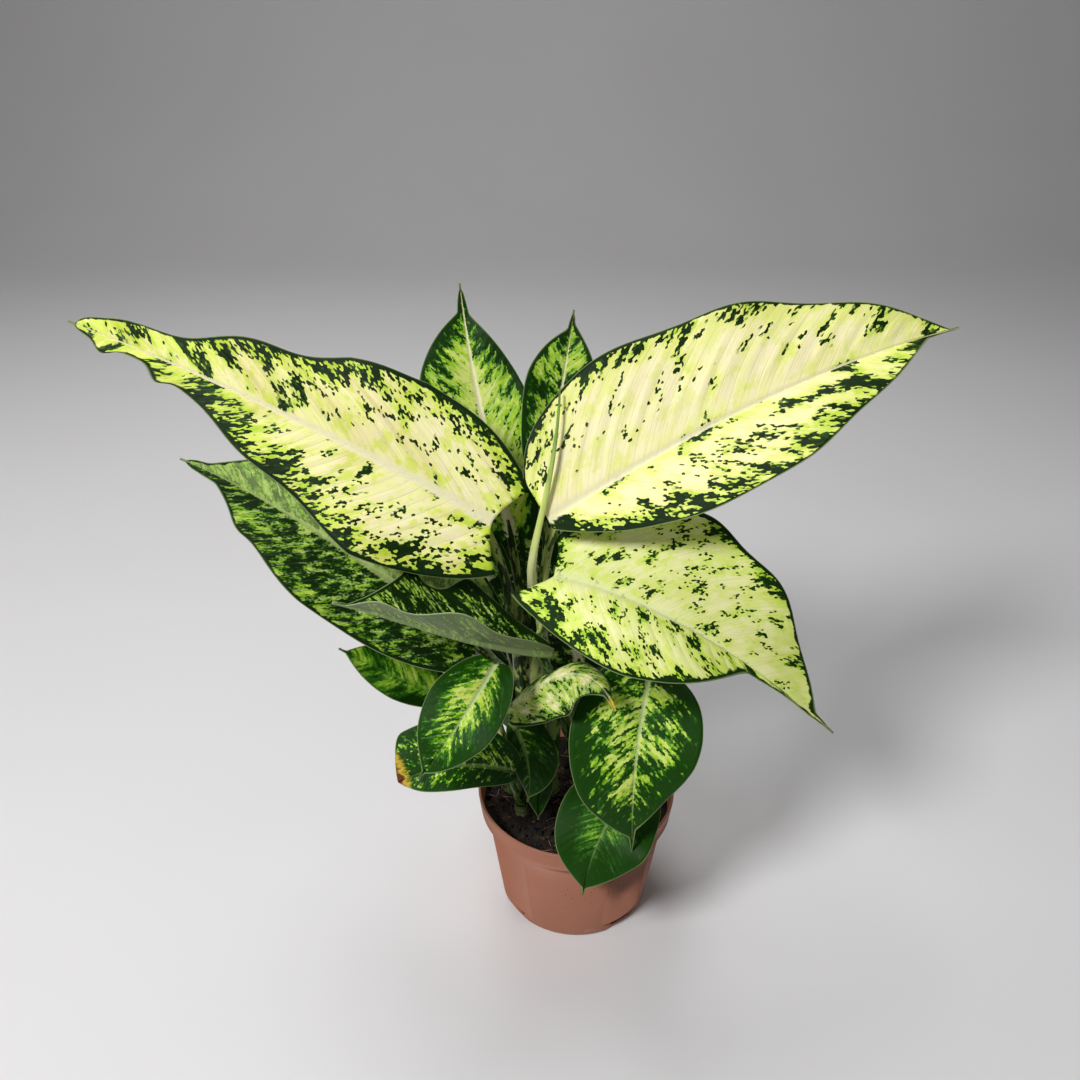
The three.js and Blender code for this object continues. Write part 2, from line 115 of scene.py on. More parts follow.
world = bpy.data.worlds.new("studio_air")
world.use_nodes = True
world.node_tree.nodes["Background"].inputs["Color"].default_value = (1, 0.98, 0.95, 1)
world.node_tree.nodes["Background"].inputs["Strength"].default_value = 0.055
bpy.context.scene.world = world
bpy.context.scene.view_settings.view_transform = "Standard"
print("lamps:", len(bpy.data.lights))

# %% [markdown]
# ## Helpers for finishes
# Every finish here is a small net of nodes. Writing each net by hand is long, so one helper
# adds a node and wires it, and a few short ones do the jobs that come back again and again:
# arithmetic, a soft step, a mix of two paints, a noise that can be stretched, and a look at
# what the mesh stores at its vertices. A wire knows the net that it belongs to, so a helper
# that is given a wire needs no more.
# Paints are given as the red, green and blue that one reads off a screen, from 0 to 255, and
# turned into the linear light that Blender counts in.

# %% Wire a node
def new_finish(name, roughness=0.5, specular=0.5):
    finish = bpy.data.materials.new(name)
    finish.use_nodes = True
    sockets = finish.node_tree.nodes["Principled BSDF"].inputs
    sockets["Roughness"].default_value = roughness
    sockets["Specular IOR Level"].default_value = specular
    return finish


def is_wire(value):
    return isinstance(value, bpy.types.NodeSocket)


def add(kind, wires, **settings):
    """Adds a node to the net that its wires come from."""
    net = next(value.id_data for value in wires.values() if is_wire(value))
    node = net.nodes.new("ShaderNode" + kind)
    for setting, value in settings.items():
        setattr(node, setting, value)
    for socket, value in wires.items():
        if is_wire(value):
            net.links.new(value, node.inputs[socket])
        else:
            node.inputs[socket].default_value = value
    return node


def stored(finish, name, output="Vector"):
    """What the mesh stores at its vertices under this name."""
    node = finish.node_tree.nodes.new("ShaderNodeAttribute")
    node.attribute_name = name
    return node.outputs[output]


def object_place(finish):
    return finish.node_tree.nodes.new("ShaderNodeTexCoord").outputs["Object"]


def parts(vector):
    return add("SeparateXYZ", {0: vector}).outputs


# %% Sums and steps
def calc(operation, *values):
    return add("Math", dict(enumerate(values)), operation=operation).outputs[0]


def times(first, second):
    return calc("MULTIPLY", first, second)


def centred(value, strength, base):
    return calc("MULTIPLY_ADD", calc("SUBTRACT", value, 0.5), strength, base)


def soft_step(value, low, high, start=0, end=1):
    wires = {"Value": value, "From Min": low, "From Max": high, "To Min": start, "To Max": end}
    return add("MapRange", wires, interpolation_type="SMOOTHSTEP").outputs[0]


# %% Paints, mixes and noise
def paint(red, green, blue):
    shares = [c / 255 for c in (red, green, blue)]
    return (*[((s + 0.055) / 1.055) ** 2.4 if s > 0.04 else s / 12.92 for s in shares], 1)


def tones(*colours):
    return [paint(*colour) for colour in colours]


def mix_paint(share, first, second, way="MIX"):
    wires = {0: share, 6: first, 7: second}
    return add("Mix", wires, data_type="RGBA", blend_type=way).outputs[2]


def mix_number(share, first, second):
    return add("Mix", {0: share, 2: first, 3: second}).outputs[0]


def cloud(place, factors, detail=2.0, roughness=0.5, shift=(0, 0, 0), space="3D"):
    """Noise that is stretched by one factor along each way, and shifted so that no two are alike."""
    wires = {"Vector": place, "Scale": factors, "Location": shift}
    wires = {"Vector": add("Mapping", wires).outputs[0], "Scale": 1.0,
             "Detail": detail, "Roughness": roughness}
    return add("TexNoise", wires, noise_dimensions=space).outputs[0]


def flat_noise(place, factors, *more):
    return cloud(place, (*factors, 1), *more, space="2D")


def ramp(value, positions, colours):
    node = add("ValToRGB", {"Fac": value})
    bar = node.color_ramp
    while len(bar.elements) < len(colours):
        bar.elements.new(0.5)
    for element, position, colour in zip(bar.elements, positions, colours):
        element.position = position
        element.color = colour
    return node.outputs[0]


# %% Put the paint on
def coat(finish, colour, roughness=None, height=None, depth=0):
    sockets = finish.node_tree.nodes["Principled BSDF"].inputs
    links = finish.node_tree.links
    links.new(colour, sockets["Base Color"])
    if roughness is not None:
        links.new(roughness, sockets["Roughness"])
    if height is not None:
        bump = add("Bump", {"Height": height, "Strength": 1.0, "Distance": depth})
        links.new(bump.outputs[0], sockets["Normal"])
    return finish


print("cream paint in linear light:", [round(c, 3) for c in paint(240, 240, 190)])

# %% [markdown]
# ## The floor
# A studio sweep is one sheet that starts level and rolls up at the back. A grid is enough: we
# push its far rows back and up along a quarter circle. It is marked as stage, so it isn't part
# of the object.

# %% Lay the floor
FLOOR_WIDTH = 8
ROLL_START = 1.6
ROLL_RADIUS = 0.8


def roll_up(place):
    past = place.y - ROLL_START
    if past <= 0:
        return place
    angle = min(past / ROLL_RADIUS, math.pi / 2)
    climb = max(past - ROLL_RADIUS * math.pi / 2, 0)
    return Vector((place.x, ROLL_START + ROLL_RADIUS * math.sin(angle),
                   ROLL_RADIUS * (1 - math.cos(angle)) + climb))


def link_mesh(name, bm, finishes):
    mesh = bpy.data.meshes.new(name)
    bm.to_mesh(mesh)
    bm.free()
    for finish in finishes:
        mesh.materials.append(finish)
    mesh.shade_smooth()
    piece = bpy.data.objects.new(name, mesh)
    bpy.context.scene.collection.objects.link(piece)
    return piece


floor_finish = new_finish("pale_floor", 0.55)
floor_cloud = cloud(object_place(floor_finish), (3, 3, 3), 3)
coat(floor_finish, mix_paint(floor_cloud, paint(222, 220, 222), paint(230, 229, 230)))

sweep = bmesh.new()
bmesh.ops.create_grid(sweep, x_segments=8, y_segments=80, size=FLOOR_WIDTH / 2)
for corner in sweep.verts:
    corner.co = roll_up(corner.co)
floor = link_mesh("floor", sweep, [floor_finish])
floor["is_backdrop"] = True
print("floor:", [round(d, 2) for d in floor.dimensions], "m")

# %% [markdown]
# ## The rows of the leaves
# A leaf of this plant is a blade on a stalk. Its midrib is a smooth curve through space, and the
# two halves beside it differ in width, fold and bend, which is what makes a blade look alive.
# The rows below are the CAD rows, in millimetres: where the stalk leaves its cane, a handle that
# bends it, four control points of the midrib, the way the upper face looks, and the two halves.
# Each half has its half width, the fold up from flat and the further bend towards its edge in
# degrees, its widest point and its end along the midrib, and how long it stays full.
# What most leaves share is written once, and a row names only what differs.

# %% The canes
SOIL_LEVEL = 71
canes = {
    "cane_main": {"foot": (-16, 6), "top": (-27, 2, 165), "radius": 6.5},
    "cane_front": {"foot": (-33, -13), "top": (-35, -14, 99), "radius": 4.5},
    "cane_right": {"foot": (25, -4), "top": (28, -4, 118), "radius": 4.5},
    "cane_back": {"foot": (6, 26), "top": (5, 28, 104), "radius": 4.5},
}


def cane_axis(cane, height):
    climbed = (height - SOIL_LEVEL) / (cane["top"][2] - SOIL_LEVEL)
    return Vector((*cane["foot"], SOIL_LEVEL)).lerp(Vector(cane["top"]), climbed)


# %% The leaves
def half(width, fold=8, bend=0, widest=0.4, end=0.95, full=1.8, base=0.5, lobe=None,
         spear=None, bumps=()):
    return {"half": width, "fold": fold, "bend": bend, "widest": widest, "end": end,
            "full": full, "round": base, "lobe": lobe, "spear": spear, "bumps": bumps}


def row(root, handle, midrib, face, left, right, **other):
    usual = {"lobe": 0.04, "spear": 0.2, "taper": 1, "wave": 1, "waves": 2.6, "frill": 0.02,
             "phase": (0, 0.4), "thread": 0.02, "sweep": (0.8, 0.8), "pleat": (0.25, 0.25),
             "folds": (0.2, 0.2), "broad": 1.3}
    return {**usual, "root": root, "handle": handle, "midrib": midrib,
            "face": face, "left": left, "right": right, **other}


leaves = {
    "leaf_upper_left": row(
        ("cane_main", 138, 222, 45), (-33, -13, 245),
        [(-46, -12, 270), (-117, 2, 307), (-186, 20, 335), (-262, 45, 355)], (0.05, -0.75, 0.65),
        half(48, 5, -10, 0.2, 0.78, 1, bumps=((0.73, 0.03, 5), (0.9, 0.035, 5))),
        half(48, 8, -10, 0.22, 0.86, 1, lobe=0.04, spear=0.36),
        lobe=0.06, spear=0.15, taper=0.3, wave=2, waves=3.6, frill=0.14,
        phase=(0.51, 0.12), sweep=(0.7, 1.5), pleat=(0.3, 0.5), folds=(0.3, 1.6), broad=1.9),
    "leaf_upper_right": row(
        ("cane_main", 142, 330, 40), (-26, 0, 238),
        [(-18, -12, 271), (28, -5, 300), (101, 10, 342), (185, 30, 357)], (-0.1, -0.75, 0.65),
        half(57, 5, 0, 0.28, 1, 2), half(47, 25, 0, 0.4, 0.94, 1.7, 1),
        lobe=0, wave=1.5, waves=3.4, frill=0.05, phase=(0.3, 0.4), folds=(0.8, 0.3)),
    "leaf_lower_right": row(
        ("cane_main", 118, 270, 55), (-22, -8, 225),
        [(-15, -22, 244), (27, -45, 248), (73, -62, 229), (126, -62, 176)], (0.1, -0.6, 0.8),
        half(55, 8, 0, 0.36, 0.93, 1.8), half(40, 12, -10, 0.3, 0.67, 1.8, lobe=0.1),
        lobe=0.03, wave=1.5, waves=3.4, frill=0.06, phase=(0.1, 0.4)),
    "leaf_lower_left": row(
        ("cane_main", 118, 180, 25), (-50, -6, 180),
        [(-57, -8, 195), (-102, -8, 231), (-152, 2, 272), (-209, 20, 289)], (0, -0.7, 0.7),
        half(37, 8, 0, 0.3, 0.87, 1.9, bumps=((0.72, 0.05, 3),)), half(40, 8, -10, 0.3, 0.93, 1.8),
        lobe=0.06, spear=0.25, taper=0.5, wave=1.5, frill=0.05),
    "leaf_upright_left": row(
        ("cane_main", 142, 95, 30), (-34, 28, 210),
        [(-38, 36, 235), (-54, 56, 292), (-62, 74, 330), (-66, 88, 362)], (0, -1, 0.3),
        half(31, 8, 0, 0.42, 0.86, 2.2), half(28, 8, -10, 0.36, 0.85, 1.4), taper=0.6),
    "leaf_upright_right": row(
        ("cane_main", 138, 50, 35), (-18, 40, 230),
        [(-19, 43, 266), (-13, 49, 299), (-8, 58, 328), (-4, 68, 354)], (0, -1, 0.3),
        half(20, 8, 0, 0.42, 0.88, 2.4), half(20, 8, -10, 0.42, 0.93, 1.6), taper=0.6),
    "leaf_folded": row(
        ("cane_main", 98, 300, 15), (-8, -22, 178),
        [(-16, -25, 198), (-53, -38, 208), (-94, -48, 237), (-120, -55, 248)], (0, 0, 1),
        half(23, 45, 10, 0.4, 0.93, 1.6, 0.9),
        half(26, 35, 10, 0.4, 0.93, 1.6, 0.9, bumps=((0.36, 0.06, 6), (0.62, 0.05, 6))),
        lobe=0, wave=2, frill=0.12, phase=(0.1, 0.55)),
    "leaf_small_left": row(
        ("cane_front", 92, 155, 15), (-65, 4, 130),
        [(-76, 5, 145), (-96, -2, 158), (-114, -8, 175), (-131, -12, 190)], (0, -0.6, 0.8),
        half(13, full=1.6), half(18, bend=-10, full=1.6), lobe=0.03, wave=0.5),
    "leaf_oval_left": row(
        ("cane_front", 92, 210, 25), (-55, -34, 162),
        [(-45, -45, 205), (-52, -68, 203), (-66, -82, 186), (-82, -84, 164)], (0, -0.7, 0.6),
        half(18), half(21, bend=-10), lobe=0.02, wave=0.5),
    "leaf_brown_tip": row(
        ("cane_front", 84, 275, 5), (-34, -44, 108),
        [(-36, -40, 127), (-54, -52, 145), (-76, -62, 154), (-97, -62, 140)], (0, -0.7, 0.6),
        half(12, 8, 0, 0.5, 1, 2.6), half(24, 8, -10, 0.6, 1, 2.8, bumps=((0.86, 0.08, 4),)),
        lobe=0.02, wave=0.8, thread=0),
    "leaf_curled": row(
        ("cane_front", 90, 100, 30), (-56, -10, 146),
        [(-40, -30, 163), (-22, -41, 192), (3, -45, 215), (15, -65, 192)], (0, -0.35, 0.9),
        half(13, -20, -20, 0.5, 0.95, 1.8), half(21, -15, -30, 0.4, 0.9, 1.5), lobe=0.02, wave=1.2),
    "leaf_oval_front": row(
        ("cane_right", 96, 330, 25), (40, -13, 160),
        [(38, -23, 182), (30, -52, 177), (25, -72, 146), (28, -68, 97)], (0, -0.9, 0.5),
        half(33, 8, 0, 0.33, 0.87, 1.6), half(36, 8, -10, 0.38, 0.92, 2.2),
        lobe=0.07, wave=0.8, frill=0.03),
    "leaf_over_rim": row(
        ("cane_right", 80, 280, 10), (38, -18, 103),
        [(36, -25, 111), (17, -50, 107), (6, -68, 100), (2, -70, 65)], (0, -0.6, 0.8),
        half(27, full=2), half(27, bend=-10, full=2), wave=0.8),
    "leaf_small_centre": row(
        ("cane_front", 84, 325, 25), (-32, -14, 131),
        [(-39, -14, 141), (-33, -24, 143), (-25, -34, 125), (-29, -38, 104)], (0, -0.9, 0.5),
        half(17, bend=-10, widest=0.55), half(8, 8, -10, 0.5, 0.95, 1.6), lobe=0.02, wave=0.6),
    "leaf_under_centre": row(
        ("cane_front", 78, 20, 10), (-20, -11, 100),
        [(-23, -17, 113), (-23, -24, 111), (-23, -28, 98), (-23, -30, 82)], (0, -0.9, 0.5),
        half(8, full=1.5), half(8, bend=-10, full=1.5), lobe=0.02, wave=0.4),
    "leaf_back_left": row(
        ("cane_main", 130, 138, 25), (-44, 12, 200),
        [(-50, 20, 215), (-85, 36, 248), (-120, 56, 262), (-160, 78, 262)], (-0.1, -0.3, 0.95),
        half(30, widest=0.35), half(30, bend=-10, widest=0.35), lobe=0.05),
    "leaf_back_right": row(
        ("cane_right", 96, 30, 20), (64, 8, 170),
        [(70, 14, 190), (80, 32, 207), (90, 54, 214), (98, 80, 207)], (0.1, -0.3, 0.95),
        half(22, widest=0.35), half(22, bend=-10, widest=0.35), lobe=0.05),
    "leaf_back_middle": row(
        ("cane_back", 88, 60, 15), (8, 40, 118),
        [(4, 46, 134), (-10, 54, 176), (-12, 66, 222), (-5, 76, 258)], (0, -1, 0.3),
        half(52, widest=0.36), half(38, bend=-10), lobe=0.02),
    "leaf_back_low": row(
        ("cane_back", 80, 150, 20), (-18, 42, 117),
        [(-20, 52, 128), (-21, 74, 156), (-22, 85, 110), (-22, 74, 38)], (0, 0.35, 0.94),
        half(43, 8, 0, 0.34, 0.98, 4), half(43, 8, -10, 0.34, 0.98, 4), lobe=0),
}
print("leaves:", len(leaves))

# %% [markdown]
# ## The shape of a blade
# One could push points about by hand, or sculpt. A rule is better here, because nineteen blades
# share it and it must agree with the CAD solids. The rule takes a place on a flat blade, u along
# it from joint to tip and v across it from edge to edge, and says where that place is in space.
# The midrib is a Bezier curve. Each half opens out beside it by its own outline, folds up, bends
# on, and ripples at its edge. Lines of equal u sweep forward as the side veins do, and the tip
# runs out into a fine thread.

# %% The midrib and the outline
BASE_ROUNDING = 0.03
VEIN_SWEEP = 0.25
SWEEP_POWER = 1.6
TIP_HALF = 0.5
LENGTH_STEPS = 64


def bezier(points, t):
    a, b, c, d = (Vector(p) for p in points)
    s = 1 - t
    return a * s ** 3 + b * 3 * s * s * t + c * 3 * s * t * t + d * t ** 3


def bezier_way(points, t):
    a, b, c, d = (Vector(p) for p in points)
    s = 1 - t
    return ((b - a) * s * s + (c - b) * 2 * s * t + (d - c) * t * t).normalized()


def curve_length(points):
    marks = [bezier(points, i / LENGTH_STEPS) for i in range(LENGTH_STEPS + 1)]
    return sum((b - a).length for a, b in zip(marks, marks[1:]))


def share(u, side, leaf):
    widest = side["widest"]
    spear = leaf["spear"] if side["spear"] is None else side["spear"]
    if u < widest:
        return (1 - ((widest - u) / (widest + BASE_ROUNDING)) ** 2) ** side["round"]
    past = min((u - widest) / (side["end"] - widest), 1)
    slim = spear * ((1 - u) / (1 - widest)) ** leaf["taper"] * min((u - widest) / 0.15, 1)
    return math.hypot(1 - past ** side["full"], slim)


# %% From a place on the flat blade to a place in space
THREAD_START = 0.97
THREAD_TAPER = 0.6
LARGE_FROM = 110
STRAIGHT = 1e-6


def half_width(leaf, u, v):
    """Half the width there in mm, and the ripple of the edge, from -1 to 1."""
    side = leaf["left"] if v < 0 else leaf["right"]
    phase = leaf["phase"][0 if v < 0 else 1]
    u = min(u, 1)
    swing = math.sin(math.tau * (leaf["waves"] * u + phase))
    ripple = swing * math.sqrt(math.sin(math.pi * u) + 1e-9)
    bumps = sum(far * math.exp(-((u - at) / long) ** 2) for at, long, far in side["bumps"])
    return side["half"] * share(u, side, leaf) * (1 + leaf["frill"] * u * ripple) + bumps, ripple


def blade_point(leaf, u, v, lift):
    side = leaf["left"] if v < 0 else leaf["right"]
    out = abs(v)
    lobe = (leaf["lobe"] if side["lobe"] is None else side["lobe"]) * (1 - min(u, 1)) ** 10
    along = u + (VEIN_SWEEP * u * max(1 - u, 0) - lobe) * out ** SWEEP_POWER
    inside = min(max(along, 0), 1)
    forward = bezier_way(leaf["midrib"], inside)
    right = forward.cross(Vector(leaf["face"])).normalized()
    up = right.cross(forward)
    wide, ripple = half_width(leaf, u, v)
    thread = min(max(u - THREAD_START, 0) / (1 - THREAD_START), 1)
    wide += TIP_HALF * (1 - THREAD_TAPER * thread)
    fold = math.radians(side["fold"])
    bend = math.radians(side["bend"]) or STRAIGHT
    across = wide * (math.sin(fold + bend * out) - math.sin(fold)) / bend
    raised = wide * (math.cos(fold) - math.cos(fold + bend * out)) / bend
    raised += leaf["wave"] * out ** 2 * ripple
    tilt = fold + bend * out if out > 0 else 0
    beyond = (min(along, 0) + max(along - 1, 0)) * leaf["length"]
    sideways = math.copysign(across - lift * math.sin(tilt), v) if out > 0 else 0
    return (bezier(leaf["midrib"], inside) + forward * beyond
            + right * sideways + up * (raised + lift * math.cos(tilt)))


for leaf in leaves.values():
    leaf["length"] = curve_length(leaf["midrib"])
    leaf["large"] = leaf["length"] > LARGE_FROM
print("longest midrib:", round(max(leaf["length"] for leaf in leaves.values())), "mm")

# %% [markdown]
# ## Veins in the shape
# On the real blade the midrib lies in a shallow channel above and stands out as a keel below.
# Pairs of side veins run out to the edge, and the blade puffs up a little between them, like
# quilting. Bump in the finish can't change the outline of a shadow, so the quilting is real
# height here, and broader folds run out across it, deepest on the uppermost leaves. Solidify
# then gives the sheet its thickness. A vertex group makes it thick along the midrib, which is
# the keel, and thin elsewhere.
# Three facts are stored at each vertex for the finish: its place in millimetres along the veins,
# its place on the blade as if that were laid out flat, and how far it is from the edge, the
# midrib and the joint.

# %% The relief of a blade
FOLD_SPACING = 12.5
FOLDS_END = 0.85
CHANNEL = 0.8
SWELL = 1.3


def vein_spacing(leaf):
    return 7.6 if leaf["large"] else 4.8


def vein_place(leaf, u, v, y):
    """Millimetres along the midrib to where the side vein through this spot leaves it."""
    along = u + VEIN_SWEEP * u * max(1 - u, 0) * abs(v) ** SWEEP_POWER
    start = along * leaf["length"] - abs(y) * leaf["sweep"][0 if v < 0 else 1] * (1 + 0.4 * abs(v))
    drift = noise.noise(Vector((start / 21, v, leaf["seed"] * 7))) * 2.5
    return start + drift + (vein_spacing(leaf) / 2 if v > 0 else 0)


def rib_half(leaf, u):
    widest = 2.9 if leaf["large"] else 1.4
    return widest * (1 - min(u, 1)) ** 1.3 + 0.25


def hump(turns):
    return 0.5 - 0.5 * math.cos(math.tau * turns)


def relief(leaf, u, v, y):
    """How far the upper face stands up from the plain sheet, in mm."""
    seed = leaf["seed"]
    side = 0 if v < 0 else 1
    out = abs(v)
    along = vein_place(leaf, u, v, y)
    pleats = leaf["pleat"][side] * (1 + noise.noise(Vector((along / 13, v, seed))))
    pleats *= hump(along / vein_spacing(leaf)) ** 0.8
    folds = leaf["folds"][side] * (1 + noise.noise(Vector((along / 20, v, seed + 5))))
    folds *= math.sin(math.pi * min(out / FOLDS_END, 1)) * hump(along / FOLD_SPACING)
    reach = min(max((out - 0.04) / 0.25, 0), 1) * (1 - 0.7 * max(out - 0.8, 0) / 0.2)
    channel = -CHANNEL * math.exp(-(y / (0.8 * rib_half(leaf, u))) ** 2)
    swell = noise.noise(Vector((u * leaf["length"] / 34, y / 22, seed))) * SWELL * min(out * 2, 1)
    return (pleats + folds) * reach * (1 - min(u, 1)) ** 0.25 + channel + swell


# %% Shape one blade
LEAN = 0.35
VEIN_LEAN = 0.8
CROWDED = 1.25
UPPER_SKIN = 0.35
BLADE = 0.5
KEEL = 2.6
LARGE_GRID = (190, 56)
SMALL_GRID = (110, 40)
NEAR = 0.01
SHEETS_APART = (400, 100)
PLACES_APART = 40


def shape_blade(name, leaf, finishes):
    cells = LARGE_GRID if leaf["large"] else SMALL_GRID
    bm = bmesh.new()
    bmesh.ops.create_grid(bm, x_segments=cells[0], y_segments=cells[1], size=0.5)
    place = bm.verts.layers.float_vector.new("place")
    rim = bm.verts.layers.float_vector.new("rim")
    sheet = bm.verts.layers.float_vector.new("sheet")
    thick = bm.verts.layers.deform.verify()
    for spot in bm.verts:
        u = (spot.co.x + 0.5) * (1 + leaf["thread"])
        v = math.copysign(abs(2 * spot.co.y) ** CROWDED, spot.co.y)
        v = 0 if abs(v) < 1e-4 else v
        flat_u = min(u, 1)
        wide = half_width(leaf, flat_u, v)[0] + TIP_HALF
        further = half_width(leaf, min(flat_u + NEAR, 1), v)[0] + TIP_HALF
        slope = (further - wide) / (NEAR * leaf["length"])
        inset = wide * (1 - abs(v)) / math.hypot(1, slope)
        y = v * wide
        spot[place] = (vein_place(leaf, u, v, y), y, leaf["seed"] * PLACES_APART)
        spot[rim] = (inset, abs(y) / rib_half(leaf, flat_u), flat_u)
        laid = u * leaf["length"] - LEAN * abs(y) + SHEETS_APART[0] * leaf["seed"]
        spot[sheet] = (laid, y + SHEETS_APART[1] * leaf["seed"], 0)
        spot[thick][0] = math.exp(-(y / (0.55 * rib_half(leaf, flat_u))) ** 2) * (1 - flat_u)
        lift = UPPER_SKIN + relief(leaf, flat_u, v, y)
        spot.co = blade_point(leaf, u, v, lift) * MM
    bmesh.ops.reverse_faces(bm, faces=bm.faces)
    blade = link_mesh(name, bm, finishes)
    blade.vertex_groups.new(name="keel")
    return blade


def thicken(blade):
    skin = blade.modifiers.new("thickness", "SOLIDIFY")
    skin.thickness = (BLADE + KEEL) * MM
    skin.offset = -1
    skin.vertex_group = "keel"
    skin.thickness_vertex_group = BLADE / (BLADE + KEEL)
    skin.material_offset = 1
    skin.material_offset_rim = 2
    return blade


print("cells in the blade grids:", LARGE_GRID, SMALL_GRID)

# %% [markdown]
# ## The markings of a blade
# Dieffenbachia leaves are variegated: cells without green show cream, cells with some show lime,
# and full ones show a dark green that gathers at the edge. The patches have ragged, blocky
# outlines because they stop at the fine veins. All of this can be read off one number, how green
# a spot is, if that number is built from a stretched noise, a mosaic of small cells and the
# distance from the edge, and then goes through a ramp with sharp steps. Part of the noise is
# read along the side veins, so flecks lie along them on every leaf. On smooth leaves the pale
# tones read the same number without its cells, so that they change softly.
# On top come the pale midrib, thin side veins, and a thin whitish line round the edge.

# %% How green a spot is
def mosaic(sheet, cell):
    """For each spot, the middle of the small cell of tissue that it lies in."""
    wires = {"Vector": sheet, "Scale": 0.5, "Detail": 2.0}
    warp = add("TexNoise", wires, noise_dimensions="2D").outputs[1]
    bent = add("VectorMath", {0: sheet, 1: warp}, operation="ADD").outputs[0]
    wires = {"Vector": bent, "Scale": 1 / cell, "Randomness": 1.0}
    return add("TexVoronoi", wires, voronoi_dimensions="2D").outputs["Position"]


def along_veins(cell, look):
    """The cells again, in millimetres along the midrib and along the side veins."""
    start, across, _ = parts(cell)
    across = calc("SUBTRACT", across, look["seed"] * SHEETS_APART[1])
    start = calc("MULTIPLY_ADD", calc("ABSOLUTE", across), LEAN - VEIN_LEAN, start)
    return add("CombineXYZ", {0: start, 1: across}).outputs[0]


def evenly(scale, size):
    return scale / size, scale / size


def greenness(look, sheet, across, rim_parts):
    """Two numbers: how green each small cell is, and the same without cells, which changes softly."""
    inset, _, u = rim_parts
    size = look["size"]
    cell = mosaic(sheet, 1.1 * size)
    lain = along_veins(cell, look)
    grain = look["grain"]
    blotch = flat_noise(cell, evenly(0.075, size), 1.5, 0.5)
    fleck = flat_noise(lain, (grain[0] / size, grain[1] / size), 2.0, 0.5, (5, 3, 0))
    speck = flat_noise(cell, evenly(0.7, size), 1.0, 0.5, (9, 4, 0))
    streak = flat_noise(lain, (0.5 / size, 0.06 / size), 3.0, 0.6, (3, 7, 0))
    wide = flat_noise(sheet, evenly(0.075, size), 3.0, 0.6)
    out = soft_step(calc("ABSOLUTE", across), 3.0, 24.0, look["calm"], 1.0)
    small = centred(speck, look["specks"], centred(fleck, look["flecks"], 0.0))
    small = times(centred(streak, look["streaks"], small), out)
    near_edge = soft_step(inset, 0.0, look["reach"], 1.0, 0.0)
    near_edge = times(near_edge, soft_step(u, 0.45, 0.9, 1.0, look["tip_edge"]))
    base = calc("MULTIPLY_ADD", near_edge, look["edge"], look["green"])
    base = calc("MULTIPLY_ADD", u, look["tip"], base)
    tilt = look["tilt"]
    base = calc("ADD", base, soft_step(across, -1.0, 1.0, -tilt, tilt))
    cells = calc("ADD", centred(blotch, look["blotches"], base), small)
    return cells, centred(wide, look["blotches"], base)


def dark_margin(look, place, rim_parts):
    """1 in the plain dark band along the edge, which narrows to the tip and has a ragged border."""
    inset, _, u = rim_parts
    width = soft_step(parts(place)[1], -1.0, 1.0, *look["margin"])
    width = times(width, soft_step(u, 0.2, 0.85, 1.0, 0.5))
    ragged = cloud(place, (0.12, 0.12, 1), 4.0, 0.65, (11, 2, 5))
    band = times(width, calc("MULTIPLY_ADD", ragged, 2.6, -0.3))
    return soft_step(calc("SUBTRACT", band, inset), -0.15, 0.3)


# %% Paints between the flecks
def pale_tones(look, place, sheet, inset, colour):
    """Lime patches that gather near the edge, soft beige shading, and fine lines along the veins."""
    patch = flat_noise(sheet, (0.09, 0.09), 5.0, 0.65, (2, 8, 0))
    patch = calc("ADD", patch, soft_step(inset, 0.0, 22.0, 0.12, -0.04))
    lime = times(soft_step(patch, 0.47, 0.6), look["lime"])
    colour = mix_paint(lime, colour, look["lime_paint"], "MULTIPLY")
    shade = cloud(place, (0.035, 0.03, 1), 2.0, 0.5, (5, 5, 5))
    shade = times(soft_step(shade, 0.4, 0.7), look["shade"])
    colour = mix_paint(shade, colour, look["shade_paint"], "MULTIPLY")
    lines = cloud(place, (1.3, 0.05, 1), 2.0, 0.5, (9, 3, 6))
    lines = soft_step(lines, 0.5, 0.75, 0.0, 0.4)
    return mix_paint(lines, colour, paint(214, 208, 178), "MULTIPLY")


def side_veins(along, spacing):
    distance = calc("PINGPONG", along, spacing / 2)
    return soft_step(distance, 0.1, 0.6, 1.0, 0.0)


def withered(look, place, u, colour):
    """A dying tip goes yellow, and then brown."""
    wear = cloud(place, (0.2, 0.2, 1), 3.0, 0.6, (7, 7, 7))
    wear = calc("MULTIPLY_ADD", wear, 0.16, u)
    yellow, brown = look["wither"]
    dry = soft_step(wear, yellow, yellow + 0.05)
    colour = mix_paint(dry, colour, paint(222, 190, 60))
    return mix_paint(soft_step(wear, brown, brown + 0.04), colour, paint(104, 58, 34))


# %% The whole face of a blade
SOFT_TONES = 0.3


